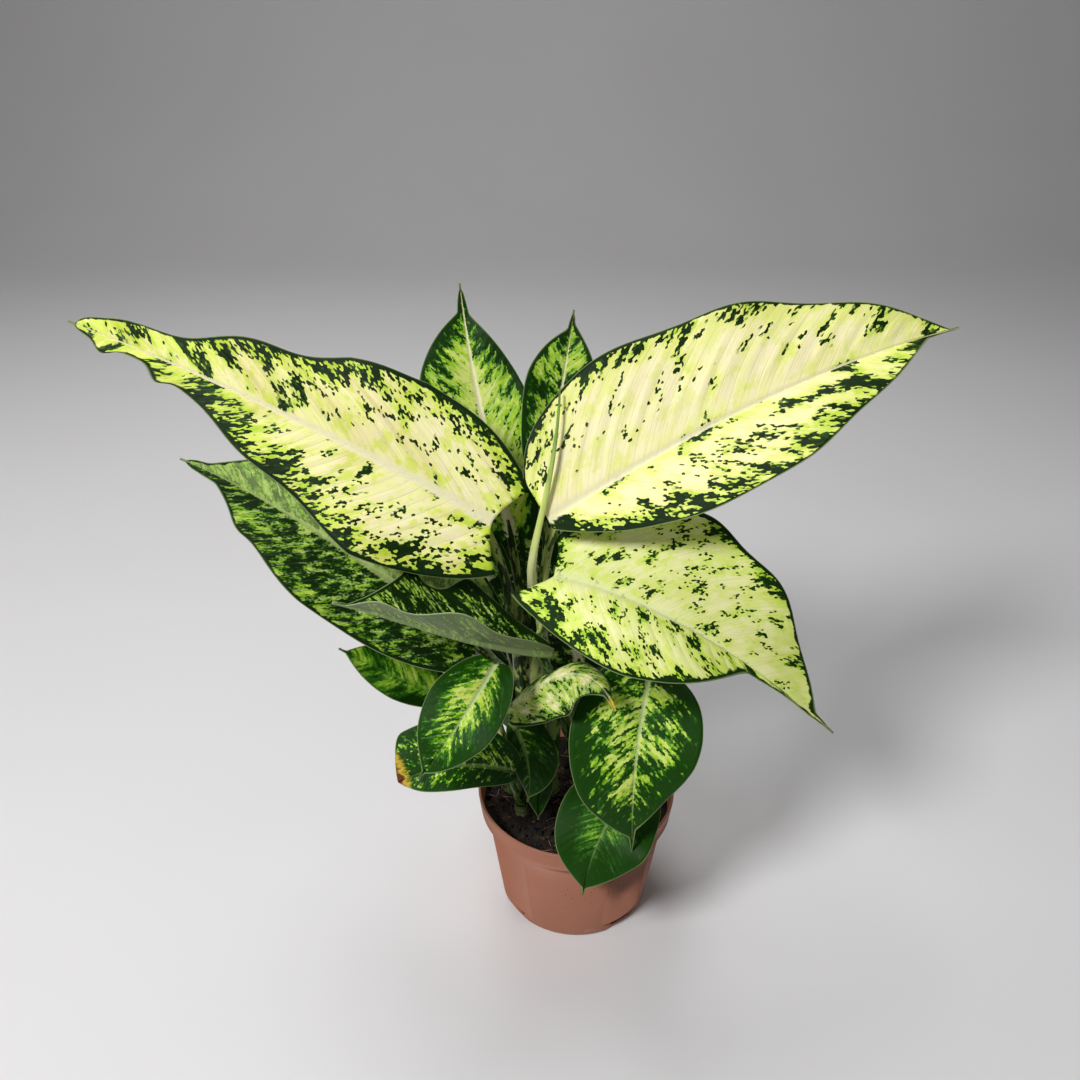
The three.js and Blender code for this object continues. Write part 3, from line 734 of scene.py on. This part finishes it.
def leaf_colour(finish, look, spacing):
    place = stored(finish, "place")
    sheet = stored(finish, "sheet")
    rim_parts = parts(stored(finish, "rim"))
    inset, rib, u = rim_parts
    along, across, _ = parts(place)
    green, soft = greenness(look, sheet, across, rim_parts)
    steps = look["steps"]
    tone = mix_number(look["smooth"], green, soft)
    if look["smooth"] > SOFT_TONES:
        tone = calc("MINIMUM", tone, steps[2])
    colour = ramp(tone, steps, look["paints"])
    for dark in (3, 4):
        reached = soft_step(green, steps[dark - 1], steps[dark])
        colour = mix_paint(reached, colour, look["paints"][dark])
    colour = pale_tones(look, place, sheet, inset, colour)
    wash = times(soft_step(across, -1.0, 1.0), look["wash"])
    colour = mix_paint(wash, colour, look["wash_paint"])
    pale = soft_step(green, steps[1], steps[-1], 1.0, look["dark_veins"])
    veins = times(side_veins(along, spacing), pale)
    colour = mix_paint(times(veins, look["veins"]), colour, look["vein_paint"])
    margin = dark_margin(look, place, rim_parts)
    colour = mix_paint(margin, colour, look["paints"][-1])
    grain = cloud(place, (0.6, 0.2, 1), 3.0, 0.6, (8, 1, 2))
    on_rib = soft_step(centred(grain, 2.2, rib), 0.7, 1.3, 1.0, 0.0)
    fade = soft_step(u, 0.2, 0.95, look["rib"], look["rib"] * look["rib_end"])
    colour = mix_paint(times(on_rib, fade), colour, look["rib_paint"])
    if "wither" in look:
        colour = withered(look, place, u, colour)
    line = soft_step(inset, 0.15, 0.45, 0.6, 0.0)
    return mix_paint(line, colour, paint(150, 170, 110)), place, veins


# %% The two faces
VEINS_SUNK = -0.5
VEINS_RAISED = 0.8


def leaf_upper(name, look, spacing):
    finish = new_finish(name, specular=0.1)
    colour, place, veins = leaf_colour(finish, look, spacing)
    fine = cloud(place, (1.6, 0.5, 1), 3.0, 0.6)
    satin = calc("MULTIPLY_ADD", fine, 0.2, 0.36)
    height = calc("MULTIPLY_ADD", veins, VEINS_SUNK, fine)
    return coat(finish, colour, satin, height, 0.15 * MM)


def leaf_under(name, look, spacing):
    finish = new_finish(name, 0.55)
    colour, place, veins = leaf_colour(finish, look, spacing)
    colour = mix_paint(0.5, colour, look["under"])
    fine = cloud(place, (1.6, 0.5, 1), 3.0, 0.6)
    height = calc("MULTIPLY_ADD", veins, VEINS_RAISED, fine)
    return coat(finish, colour, None, height, 0.15 * MM)


# %% [markdown]
# ## How each leaf is marked
# The uppermost leaves are the youngest and palest, and the old ones low down are the darkest.
# So there are five sets of paints, and each leaf says how green it is on the whole and how much
# greener at its edge, at its tip and on its right half (tilt). It says how strong its blotches,
# flecks, specks and streaks are, how weak they are beside the rib (calm), how fine the grain is
# across and along the veins, how softly the pale tones change (smooth), how wide the dark
# margins are, and how well the rib shows at the base and at the tip (rib, rib_end).

# %% Looks
def look(paints, steps, **other):
    usual = {
        "size": 1, "blotches": 0.5, "flecks": 0.6, "specks": 0.4, "streaks": 0.1, "calm": 1,
        "grain": (0.22, 0.18), "smooth": 0, "green": 0.36, "edge": 0.1, "reach": 18, "tip": 0,
        "tip_edge": 0.3, "tilt": 0, "margin": (2.5, 2.5), "shade": 0.4, "lime": 0.8, "wash": 0,
        "veins": 0.4, "dark_veins": 0.02, "rib": 0.9, "rib_end": 1,
        "shade_paint": paint(226, 212, 184), "lime_paint": paint(230, 247, 150),
        "wash_paint": paint(150, 190, 130), "vein_paint": paint(214, 206, 186),
        "rib_paint": paint(236, 230, 190), "under": paint(132, 158, 100),
    }
    return {**usual, "paints": paints, "steps": steps, **other}


CREAM = tones((248, 240, 192), (240, 240, 156), (206, 226, 98), (38, 76, 16), (16, 40, 7))
YELLOW = tones((242, 244, 178), (226, 238, 130), (178, 212, 68), (38, 80, 16), (18, 46, 8))
LIME = tones((216, 230, 128), (170, 208, 70), (104, 160, 38), (40, 94, 20), (20, 54, 8))
MOSS = tones((206, 224, 126), (150, 190, 74), (86, 126, 42), (38, 76, 20), (17, 42, 8))
DARK = tones((214, 232, 116), (150, 198, 48), (70, 132, 28), (38, 92, 14), (26, 66, 9))
SHARP = (0.3, 0.43, 0.485, 0.5, 0.53)
BLOCKY = (0.3, 0.4, 0.47, 0.5, 0.56)
FEATHERED = (0.28, 0.38, 0.46, 0.54, 0.64)
LIME_RIB = paint(196, 212, 146)
OLD_RIB = paint(140, 168, 96)

looks = {
    "leaf_upper_left": look(
        CREAM, SHARP, size=1.1, green=0.365, edge=0.13, reach=22, margin=(2, 2.6), calm=0.3,
        smooth=0.75, blotches=0.45, specks=0.6, tip=0.085, tip_edge=0.1, lime=0.85),
    "leaf_upper_right": look(
        CREAM, SHARP, size=1.2, edge=0.13, margin=(1.8, 1.4), calm=0.4, smooth=0.75,
        blotches=0.55, specks=0.45, tip=0.04, tilt=0.03, grain=(0.24, 0.14), tip_edge=0.4,
        shade=0.15, lime=0.5, veins=0.25, vein_paint=paint(228, 220, 178)),
    "leaf_lower_right": look(
        YELLOW, SHARP, size=0.9, green=0.385, edge=0.08, reach=20, margin=(2.4, 1.7), calm=0.7,
        smooth=0.7, blotches=0.6, specks=0.45, shade=0.12, lime=0.55, rib=0.75, tilt=0.01,
        vein_paint=paint(226, 230, 160), rib_paint=paint(226, 232, 170)),
    "leaf_curled": look(
        [CREAM[0], *MOSS[1:]], SHARP, size=0.65, edge=0.12, reach=9, margin=(1.5, 1.5),
        tip=0.03, smooth=0.6, wither=(1, 1.07), rib=0.4),
    "leaf_lower_left": look(
        MOSS, BLOCKY, green=0.475, size=0.7, edge=0, margin=(2, 2), tilt=-0.03, wash=0.4,
        wash_paint=paint(156, 182, 104), smooth=0.2, dark_veins=0.08, rib=0.7,
        rib_paint=paint(184, 200, 128)),
    "leaf_upright_left": look(
        LIME, BLOCKY, green=0.355, size=0.9, edge=0.2, reach=16, margin=(3.5, 3.5), smooth=0.3,
        tip_edge=1),
    "leaf_upright_right": look(
        LIME, BLOCKY, green=0.42, size=0.9, edge=0.12, margin=(3, 3), smooth=0.3),
    "leaf_small_left": look(
        LIME, FEATHERED, green=0.46, flecks=0.25, specks=0.15, streaks=0.45, edge=0.15,
        reach=9, smooth=0.3, veins=0.1, rib_paint=paint(130, 176, 66), rib=0.3, rib_end=0.2,
        margin=(0.9, 0.9)),
    "leaf_oval_front": look(
        DARK, BLOCKY, green=0.42, flecks=0.7, streaks=0.7, edge=0.34, reach=19, tip_edge=0.7,
        veins=0.2, rib_paint=LIME_RIB, rib_end=0.4),
    "leaf_oval_left": look(
        DARK, FEATHERED, green=0.4, flecks=0.5, specks=0.3, streaks=0.6, edge=0.34, reach=13,
        size=0.8, tip_edge=0.7, veins=0.2, rib_paint=LIME_RIB, rib_end=0),
    "leaf_brown_tip": look(
        DARK, BLOCKY, green=0.55, flecks=0.7, streaks=0.6, reach=10, size=0.8,
        wither=(0.97, 1), rib_paint=OLD_RIB, rib=0.6, rib_end=0.3),
    "leaf_folded": look(
        MOSS, BLOCKY, green=0.53, flecks=0.5, streaks=0.9, reach=12, size=0.8, rib=0.3,
        rib_paint=OLD_RIB, under=paint(152, 172, 116)),
    "leaf_over_rim": look(
        DARK, FEATHERED, green=0.45, blotches=0.3, flecks=0.2, specks=0.15, streaks=0.5,
        edge=0.3, rib_end=0.2, reach=24, smooth=0.3, tip_edge=1, veins=0.2,
        rib_paint=OLD_RIB, rib=0.7),
    "leaf_small_centre": look(
        DARK, FEATHERED, green=0.56, flecks=0.4, specks=0.2, streaks=0.7, edge=0.2, reach=10,
        rib_paint=OLD_RIB, rib=0.7),
    "leaf_under_centre": look(
        DARK, FEATHERED, green=0.66, flecks=0.4, streaks=0.3, size=0.8, rib=0),
    "leaf_back_left": look(LIME, BLOCKY, green=0.46, edge=0.15, size=0.9),
    "leaf_back_right": look(LIME, BLOCKY, green=0.44, edge=0.15, size=0.9),
    "leaf_back_middle": look(MOSS, BLOCKY, green=0.56, edge=0.15, size=0.9),
    # The low back leaf's under paint is darker than a real underside: painted shade behind the
    # stalks.
    "leaf_back_low": look(
        MOSS, FEATHERED, green=0.48, streaks=0.6, edge=0.24, reach=20,
        under=paint(88, 108, 62)),
}
slots = {name: "leaf_lime" for name in leaves}
for name in ("leaf_upper_left", "leaf_upper_right", "leaf_lower_right", "leaf_curled"):
    slots[name] = "leaf_cream"
for name in ("leaf_folded", "leaf_oval_left", "leaf_brown_tip", "leaf_over_rim",
             "leaf_small_centre", "leaf_under_centre", "leaf_back_low"):
    slots[name] = "leaf_dark"
print("looks:", len(looks))

# %% Make the blades
edge_finish = new_finish("leaf_edge")
edge_cloud = cloud(stored(edge_finish, "place"), (0.3, 0.3, 1))
coat(edge_finish, mix_paint(edge_cloud, paint(110, 134, 76), paint(176, 190, 136)))

for number, (name, leaf) in enumerate(leaves.items()):
    leaf["seed"] = number + 1
    looks[name]["seed"] = number + 1
    spacing = vein_spacing(leaf)
    upper = leaf_upper(name + "_upper_face", looks[name], spacing)
    under = leaf_under(name + "_under_face", looks[name], spacing)
    blade = thicken(shape_blade(name + "_blade", leaf, [upper, under, edge_finish]))
    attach(blade, "root")
    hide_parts(name)
print("blades:", len(leaves))

# %% [markdown]
# ## The stalks
# A dieffenbachia stalk isn't a round rod. Its lower half is a sheath that clasps the cane, open
# towards it like a gutter with thin raised wings, and above the sheath it turns nearly round,
# with a shallow channel on top. A curve with a round bevel would lose that, so each stalk is a
# grid rolled into a tube: one way runs along the stalk, the other round it, and the radius
# changes with both. The seam is closed by merging its doubled vertices. The rolled leaf and the
# canes are the same kind of tube, so the rolling is a helper of its own.

# %% Roll a grid into a tube
MERGED = 1e-6


def roll_tube(name, cells, finish, spot_at):
    """spot_at(t, turned) gives what a vertex stores as its place, and where it is in mm."""
    bm = bmesh.new()
    bmesh.ops.create_grid(bm, x_segments=cells[0], y_segments=cells[1], size=0.5)
    place = bm.verts.layers.float_vector.new("place")
    for corner in bm.verts:
        corner[place], spot = spot_at(corner.co.x + 0.5, corner.co.y + 0.5)
        corner.co = spot * MM
    bmesh.ops.remove_doubles(bm, verts=bm.verts, dist=MERGED)
    bmesh.ops.holes_fill(bm, edges=[edge for edge in bm.edges if edge.is_boundary], sides=0)
    bmesh.ops.recalc_face_normals(bm, faces=bm.faces)
    return link_mesh(name, bm, [finish])


# %% A stalk's course and its cross-section
JOINT = 0.05
BESIDE_CANE = 0.3
LARGE_STALK = (3.2, 2.2)
SMALL_STALK = (2.2, 1.6)


def stalk_course(leaf):
    cane_name, height, side, rise = leaf["root"]
    cane = canes[cane_name]
    start_radius, end_radius = LARGE_STALK if leaf["large"] else SMALL_STALK
    axis = cane_axis(cane, height)
    climb = cane_axis(cane, height + rise) - axis
    reach = 0.98 * (cane["radius"] + start_radius) + BESIDE_CANE
    outward = Vector((math.cos(math.radians(side)), math.sin(math.radians(side)), 0))
    start = axis + outward * reach
    end = blade_point(leaf, JOINT, 0, 0.2 - end_radius)
    return [start, start + climb, Vector(leaf["handle"]), end], outward, start_radius, end_radius


def gutter(angle, depth, wings):
    """Radius of the stalk's cross-section, as a share, at an angle from its open side."""
    groove = depth * math.exp(-(angle / 0.55) ** 2)
    wing = math.exp(-((angle - 0.8) / 0.24) ** 2) + math.exp(-((angle + 0.8) / 0.24) ** 2)
    return 1 - groove + wings * wing


# %% Roll a stalk
SHEATH_END = 0.62
SKIN_RADIUS = 3


def shape_stalk(name, leaf, finish):
    points, outward, start_radius, end_radius = stalk_course(leaf)
    length = curve_length(points)
    last = bezier_way(leaf["midrib"], JOINT)
    blade_up = last.cross(Vector(leaf["face"])).normalized().cross(last)

    def spot_at(t, turned):
        angle = math.tau * (turned - 0.5)
        forward = bezier_way(points, t)
        open_way = (-outward).lerp(blade_up, min(t * 1.3, 1))
        open_way = (open_way - forward * open_way.dot(forward)).normalized()
        across = forward.cross(open_way)
        radius = start_radius + (end_radius - start_radius) * t
        sheath = 1 - min(max((t - SHEATH_END + 0.1) / 0.1, 0), 1)
        flare = 0.35 * min(max((t - 0.35) / 0.2, 0), 1) * sheath
        radius *= gutter(angle, 0.18 + 0.42 * sheath, (0.32 + flare) * sheath)
        clasp = 1 + 0.5 * max(1 - t / 0.2, 0) + (leaf["broad"] - 1) * sheath * min(t / 0.3, 1)
        round_it = open_way * math.cos(angle) + across * clasp * math.sin(angle)
        place = (t * length, SKIN_RADIUS * math.cos(angle),
                 SKIN_RADIUS * math.sin(angle) + leaf["seed"] * PLACES_APART)
        return place, bezier(points, t) + round_it * radius

    return roll_tube(name, (60, 28), finish, spot_at)


# %% [markdown]
# The stalks are pale green, mottled with darker green streaks that run along them. The pale
# leaves have creamier stalks. Their paints are set darker than that pale green, as painted shade
# for the dim inside of the plant under the leaves. The streaks are the same idea as on the
# blades: a noise that is stretched along the stalk, through a sharp step.

# %% The finish of the stalks
def stalk_finish(name, pale, mottle, amount):
    finish = new_finish(name, specular=0.2)
    place = stored(finish, "place")
    streak = cloud(place, (0.1, 0.28, 0.28), 4.0, 0.6)
    mark = soft_step(streak, 0.62 - amount, 0.67 - amount)
    tone = soft_step(cloud(place, (0.03, 0.2, 0.2), 2.0), 0.35, 0.75, 0.0, 0.7)
    base = mix_paint(tone, pale, mottle)
    colour = mix_paint(mark, base, mottle)
    lines = cloud(place, (0.05, 2.5, 2.5), 2.0)
    satin = calc("MULTIPLY_ADD", lines, 0.2, 0.3)
    return coat(finish, colour, satin, lines, 0.15 * MM)


# These paints are darker than the stalks' own pale green: painted shade for the inside of the plant.
mottled_stalk = stalk_finish("stalk_mottled", paint(158, 174, 90), paint(22, 46, 9), 0.15)
stalk_finishes = {
    "leaf_cream": stalk_finish("stalk_creamy", paint(172, 184, 104), paint(52, 80, 20), 0.08),
    "leaf_lime": mottled_stalk,
    "leaf_dark": stalk_finish("stalk_green", paint(112, 140, 66), paint(26, 54, 12), 0.13),
}

for name, leaf in leaves.items():
    finish = mottled_stalk if name == "leaf_upper_left" else stalk_finishes[slots[name]]
    stalk = shape_stalk(name + "_stalk", leaf, finish)
    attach(stalk, "root")
    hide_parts(name)
print("stalks:", len(leaves))

# %% [markdown]
# ## The rolled leaf
# The newest leaf pushes up out of a sheath before it opens. It is a blade that is still wound up
# lengthwise, like a paper spill: a slim spear whose outer edge shows as a fine step that winds
# up round it. A cone would do for the body, but a rolled grid can carry the step as well, since
# the radius may grow once round the spear and fall back at the edge of the wrap. Its foot is
# sunk into the sheath that it comes out of, so that no blunt end shows.

# %% Wind up the new leaf
SPEAR = [(-26.2, -8.1, 236), (-27, -21, 262), (-14, -12, 292), (-12, 18, 328.5)]
SPEAR_FACE = (0, -0.75, 0.65)
SPEAR_BASE = 2.6
SPEAR_TIP = 0.5
WRAP_STEP = 0.22
WRAP_TWIST = 0.35
SUNK = 0.3


def shape_spear(name, finish):
    length = curve_length(SPEAR)

    def spot_at(share_along, turned):
        t = share_along * (1 + SUNK) - SUNK
        angle = math.tau * (turned + WRAP_TWIST * t + 0.1)
        forward = bezier_way(SPEAR, max(t, 0))
        across = forward.cross(Vector(SPEAR_FACE)).normalized()
        front = across.cross(forward)
        overlap = 1 + WRAP_STEP * (min(turned, (1 - turned) * 12) - 0.5)
        radius = (SPEAR_BASE + (SPEAR_TIP - SPEAR_BASE) * t) * overlap
        centre = bezier(SPEAR, max(t, 0)) + forward * min(t, 0) * length
        place = (t * length, SKIN_RADIUS * math.cos(angle), SKIN_RADIUS * math.sin(angle))
        return place, centre + (front * math.cos(angle) + across * math.sin(angle)) * radius

    return roll_tube(name, (100, 40), finish, spot_at)


def spear_finish():
    finish = new_finish("rolled_leaf_skin", 0.45)
    place = stored(finish, "place")
    patch = cloud(place, (0.08, 0.3, 0.3), 3.0, 0.6)
    greener = calc("MULTIPLY_ADD", patch, 0.6, calc("DIVIDE", parts(place)[0], 150))
    colour = ramp(greener, (0.3, 0.6, 0.85, 1), tones(
        (236, 238, 176), (208, 222, 124), (134, 168, 62), (66, 108, 30)))
    lines = cloud(place, (0.05, 2.2, 2.2), 2.0)
    return coat(finish, colour, None, lines, 0.12 * MM)


spear = shape_spear("leaf_rolled_spear", spear_finish())
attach(spear, "root")
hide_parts("leaf_rolled")
print("spear:", round(curve_length(SPEAR)), "mm long")

# %% [markdown]
# ## The canes
# Under the sheaths a cane is a juicy green stem with rings, the scars of fallen leaves. It is
# the same rolled grid again, with a radius that swells at each ring and closes in a dome.

# %% Roll the canes
RING_SPACING = 9
CANE_ROOT = 28


def shape_cane(name, cane, finish):
    bottom = cane_axis(cane, SOIL_LEVEL - CANE_ROOT)
    top = Vector(cane["top"])
    way = (top - bottom).normalized()
    side = way.orthogonal().normalized()
    other = way.cross(side)
    length = (top - bottom).length

    def spot_at(t, turned):
        angle = math.tau * (turned - 0.5)
        cosine, sine = math.cos(angle), math.sin(angle)
        ring = math.exp(-((t * length % RING_SPACING - RING_SPACING / 2) / 0.8) ** 2)
        radius = cane["radius"] * (1 - 0.08 * t) * (0.97 + 0.06 * ring)
        radius *= 1 + 0.03 * noise.noise(Vector((t * length / 6, cosine, sine)))
        radius *= math.sqrt(1 - (1 - min((1 - t) / 0.03, 1)) ** 2)
        place = (t * length, cane["radius"] * cosine, cane["radius"] * sine)
        return place, bottom.lerp(top, t) + (side * cosine + other * sine) * radius

    return roll_tube(name, (90, 32), finish, spot_at)


def cane_finish():
    finish = new_finish("cane_skin")
    place = stored(finish, "place")
    tone = cloud(place, (0.15, 0.25, 0.25), 4.0, 0.6)
    base = ramp(tone, (0.3, 0.55, 0.75), tones(
        (96, 120, 62), (140, 158, 96), (120, 104, 70)))
    along = calc("SUBTRACT", parts(place)[0], RING_SPACING / 2)
    ring = soft_step(calc("PINGPONG", along, RING_SPACING / 2), 0.3, 0.9, 0.7, 0)
    return coat(finish, mix_paint(ring, base, paint(92, 84, 56)), None, tone, 0.3 * MM)


cane_skin = cane_finish()
for name, cane in canes.items():
    stem = shape_cane(name + "_stem", cane, cane_skin)
    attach(stem, "root")
    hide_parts(name)
print("canes:", len(canes))

# %% [markdown]
# ## The pot
# A nursery pot is blown or pressed from thin plastic: a tapered wall, a wider collar so that
# pots stack, and a rounded lip. It is turned about one axis, so it is spun from its outline, in
# fine steps for a smooth edge. Drain holes in its floor and drain cuts through its foot are
# taken out with Boolean cutters, and a bevel softens every corner that is left sharp.

# %% Spin the pot
POT_STEPS = 160
pot_outline = [
    (0, 0), (44.5, 0), (46, 1.5), (54.5, 66), (58.2, 69), (59.6, 80.6), (59.5, 81.5), (59, 82),
    (58.6, 82), (58.2, 81.6), (58, 80.8), (56.8, 69), (53.1, 66), (45, 2.9), (43.3, 1.4),
    (0, 1.4),
]


def spin_outline(outline, steps):
    bm = bmesh.new()
    corners = [bm.verts.new((r * MM, 0, z * MM)) for r, z in outline]
    line = [bm.edges.new(pair) for pair in zip(corners, corners[1:])]
    bmesh.ops.spin(bm, geom=corners + line, cent=(0, 0, 0), axis=(0, 0, 1), angle=math.tau,
                   steps=steps, use_merge=True, use_duplicate=False)
    bmesh.ops.remove_doubles(bm, verts=bm.verts, dist=MERGED)
    bmesh.ops.recalc_face_normals(bm, faces=bm.faces)
    return bm


def cut_away(piece, cutters):
    for cutter in cutters:
        cut = piece.modifiers.new("cut", "BOOLEAN")
        cut.object = cutter
        cut.solver = "EXACT"
    shown = piece.evaluated_get(bpy.context.evaluated_depsgraph_get())
    whole = bpy.data.meshes.new_from_object(shown)
    piece.modifiers.clear()
    piece.data = whole
    for cutter in cutters:
        bpy.data.objects.remove(cutter)


# %% Cut the drains
DRAIN_RADIUS = 4
DRAIN_CIRCLE = 30
FOOT_CUT_SIDE = 46
FOOT_CUT_HEIGHT = 7
FOOT_CUT_INNER = 44.6


def turned_cutter(bm, reach, turn):
    bmesh.ops.translate(bm, verts=bm.verts, vec=(reach * MM, 0, 0))
    about_z = Matrix.Rotation(math.radians(turn), 3, "Z")
    bmesh.ops.rotate(bm, verts=bm.verts, cent=(0, 0, 0), matrix=about_z)
    return link_mesh("cutter", bm, [])


def drain_cutter(turn):
    bm = bmesh.new()
    bmesh.ops.create_cone(bm, cap_ends=True, segments=32, radius1=DRAIN_RADIUS * MM,
                          radius2=DRAIN_RADIUS * MM, depth=8 * MM)
    return turned_cutter(bm, DRAIN_CIRCLE, turn)


def foot_cutter(turn):
    bm = bmesh.new()
    bmesh.ops.create_cube(bm, size=FOOT_CUT_SIDE * MM)
    bmesh.ops.scale(bm, verts=bm.verts, vec=(1, 1, 2 * FOOT_CUT_HEIGHT / FOOT_CUT_SIDE))
    return turned_cutter(bm, FOOT_CUT_INNER + FOOT_CUT_SIDE / 2, turn)


# %% [markdown]
# The plastic is a dusty terracotta colour, more satin than shiny. Turning marks run round it,
# handling leaves faint scuffs, and a little soil sticks near the rim. All of that is read in
# object coordinates, since the pot never bends.

# %% The finish of the pot
def pot_finish():
    finish = new_finish("pot_plastic")
    place = object_place(finish)
    tone = cloud(place, (18, 18, 12), 3.0)
    base = mix_paint(tone, paint(150, 94, 72), paint(170, 112, 88))
    scuff = cloud(place, (60, 60, 160), 5.0, 0.7)
    worn = soft_step(scuff, 0.6, 0.72, 0.0, 0.25)
    base = mix_paint(worn, base, paint(206, 168, 148))
    wires = {"Vector": place, "Scale": 330.0, "Randomness": 1.0}
    crumbs = add("TexVoronoi", wires).outputs["Distance"]
    where = cloud(place, (26, 26, 30), 2.0, 0.5, (1, 4, 2))
    speck = times(soft_step(crumbs, 0.1, 0.17, 1.0, 0.0), soft_step(where, 0.56, 0.62))
    colour = mix_paint(speck, base, paint(52, 34, 26))
    fine = cloud(place, (900, 900, 900), 2.0)
    satin = calc("MULTIPLY_ADD", scuff, 0.3, 0.36)
    height = calc("MULTIPLY_ADD", fine, 0.4, cloud(place, (4, 4, 900), 2.0))
    return coat(finish, colour, satin, height, 0.06 * MM)


pot = link_mesh("pot_shell", spin_outline(pot_outline, POT_STEPS), [pot_finish()])
drains = [drain_cutter(36 + 72 * i) for i in range(5)]
foot_cuts = [foot_cutter(-143 + 90 * i) for i in range(4)]
cut_away(pot, drains + foot_cuts)
soften = pot.modifiers.new("soft_corners", "BEVEL")
soften.width = 0.35 * MM
soften.segments = 2
soften.limit_method = "ANGLE"
soften.angle_limit = math.radians(28)
pot.data.shade_smooth()
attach(pot, "root")
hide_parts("pot")
print("pot faces:", len(pot.data.polygons))

# %% [markdown]
# ## The soil
# Peat is a bed of dark crumbs with fibres and bits of bark in it. One bumpy disc makes the bed,
# and many small, cheap crumbs and fibres on top give it a broken surface and real shadows.
# Every random draw comes from one seeded source, so the bed is the same every time.

# %% The bed
SOIL_EDGE = 56.1
dice = random.Random(4)


def soil_height(x, y):
    lumps = noise.noise(Vector((x / 9, y / 9, 3))) * 2.4
    return SOIL_LEVEL + lumps + noise.noise(Vector((x / 3.2, y / 3.2, 8))) * 1.1


def soil_bed(finish):
    outline = [(SOIL_EDGE * i / 44, SOIL_LEVEL) for i in range(45)]
    outline += [(52.4, 66), (44.4, 3), (0, 3)]
    bm = spin_outline(outline, 120)
    for spot in bm.verts:
        x, y, z = spot.co / MM
        if z > SOIL_LEVEL - 1 and math.hypot(x, y) < SOIL_EDGE - 0.5:
            spot.co.z = soil_height(x, y) * MM
    return link_mesh("soil_bed", bm, [finish])


def peat_finish():
    finish = new_finish("peat", 0.95)
    place = object_place(finish)
    grain = cloud(place, (420, 420, 420), 6.0, 0.7)
    patch = cloud(place, (70, 70, 70), 3.0)
    mixed = calc("MULTIPLY_ADD", patch, 0.6, times(grain, 0.5))
    colour = ramp(mixed, (0.38, 0.52, 0.62, 0.72), tones(
        (16, 11, 9), (28, 20, 15), (50, 36, 26), (110, 84, 60)))
    return coat(finish, colour, None, grain, 1.0 * MM)


bed = soil_bed(peat_finish())
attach(bed, "root")
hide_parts("soil")
print("soil faces:", len(bed.data.polygons))

# %% Crumbs and fibres
CRUMBS = 1500
FIBRES = 150


def crumb_finish():
    finish = new_finish("peat_crumbs", 0.9)
    grain = cloud(object_place(finish), (600, 600, 600), 3.0, 0.6)
    shade = centred(grain, 0.25, stored(finish, "tone", "Fac"))
    colour = ramp(shade, (0, 0.6, 0.8, 0.92, 1), tones(
        (12, 8, 7), (26, 18, 13), (52, 32, 20), (124, 80, 52), (190, 160, 124)))
    return coat(finish, colour, None, grain, 0.5 * MM)


def on_soil():
    reach = (SOIL_EDGE - 2) * math.sqrt(dice.random())
    turn = dice.uniform(0, math.tau)
    x, y = reach * math.cos(turn), reach * math.sin(turn)
    return Vector((x, y, soil_height(x, y)))


def shape_crumbs(count, finish):
    bm = bmesh.new()
    tone = bm.verts.layers.float.new("tone")
    for _ in range(count):
        made = bmesh.ops.create_icosphere(bm, subdivisions=1, radius=1)["verts"]
        size = 0.5 + 1.9 * dice.random() ** 3
        shade = 0.86 * dice.random() ** 1.3
        centre = on_soil() + Vector((0, 0, size * 0.2))
        angle = dice.uniform(0, 6.3)
        turn = Matrix.Rotation(angle, 3, Vector((dice.random(), dice.random(), 1)))
        for spot in made:
            spot[tone] = shade
            bump = Vector((1, dice.uniform(0.7, 1.1), dice.uniform(0.5, 0.8)))
            spot.co = (turn @ (spot.co * bump * dice.uniform(0.75, 1.2) * size) + centre) * MM
    return link_mesh("soil_crumbs", bm, [finish])


def shape_fibres(count, finish):
    bm = bmesh.new()
    tone = bm.verts.layers.float.new("tone")
    for _ in range(count):
        made = bmesh.ops.create_cone(bm, cap_ends=True, segments=5, radius1=0.16, radius2=0.08,
                                     depth=1)["verts"]
        length = dice.uniform(4, 12)
        centre = on_soil() + Vector((0, 0, 1))
        heading = Matrix.Rotation(dice.uniform(0, 6.3), 3, "Z")
        turn = heading @ Matrix.Rotation(math.pi / 2 + dice.uniform(-0.25, 0.25), 3, "Y")
        shade = dice.choice((0.82, 0.9, 0.96, 1.0))
        for spot in made:
            spot[tone] = shade
            spot.co.z *= length
            spot.co = (turn @ spot.co + centre) * MM
    return link_mesh("soil_fibres", bm, [finish])


crumbs_finish = crumb_finish()
for litter in (shape_crumbs(CRUMBS, crumbs_finish), shape_fibres(FIBRES, crumbs_finish)):
    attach(litter, "root")
print("crumbs and fibres:", CRUMBS, FIBRES)

# %% [markdown]
# ## Measure and finish
# The last cell writes the CAD box and the box of what is shown now, so that the two can be
# compared.

# %% Write the sizes
shown_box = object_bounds()
for label, box in (("cad", cad_box), ("shown", shown_box)):
    print(label, [[round(c / MM, 1) for c in corner] for corner in box])
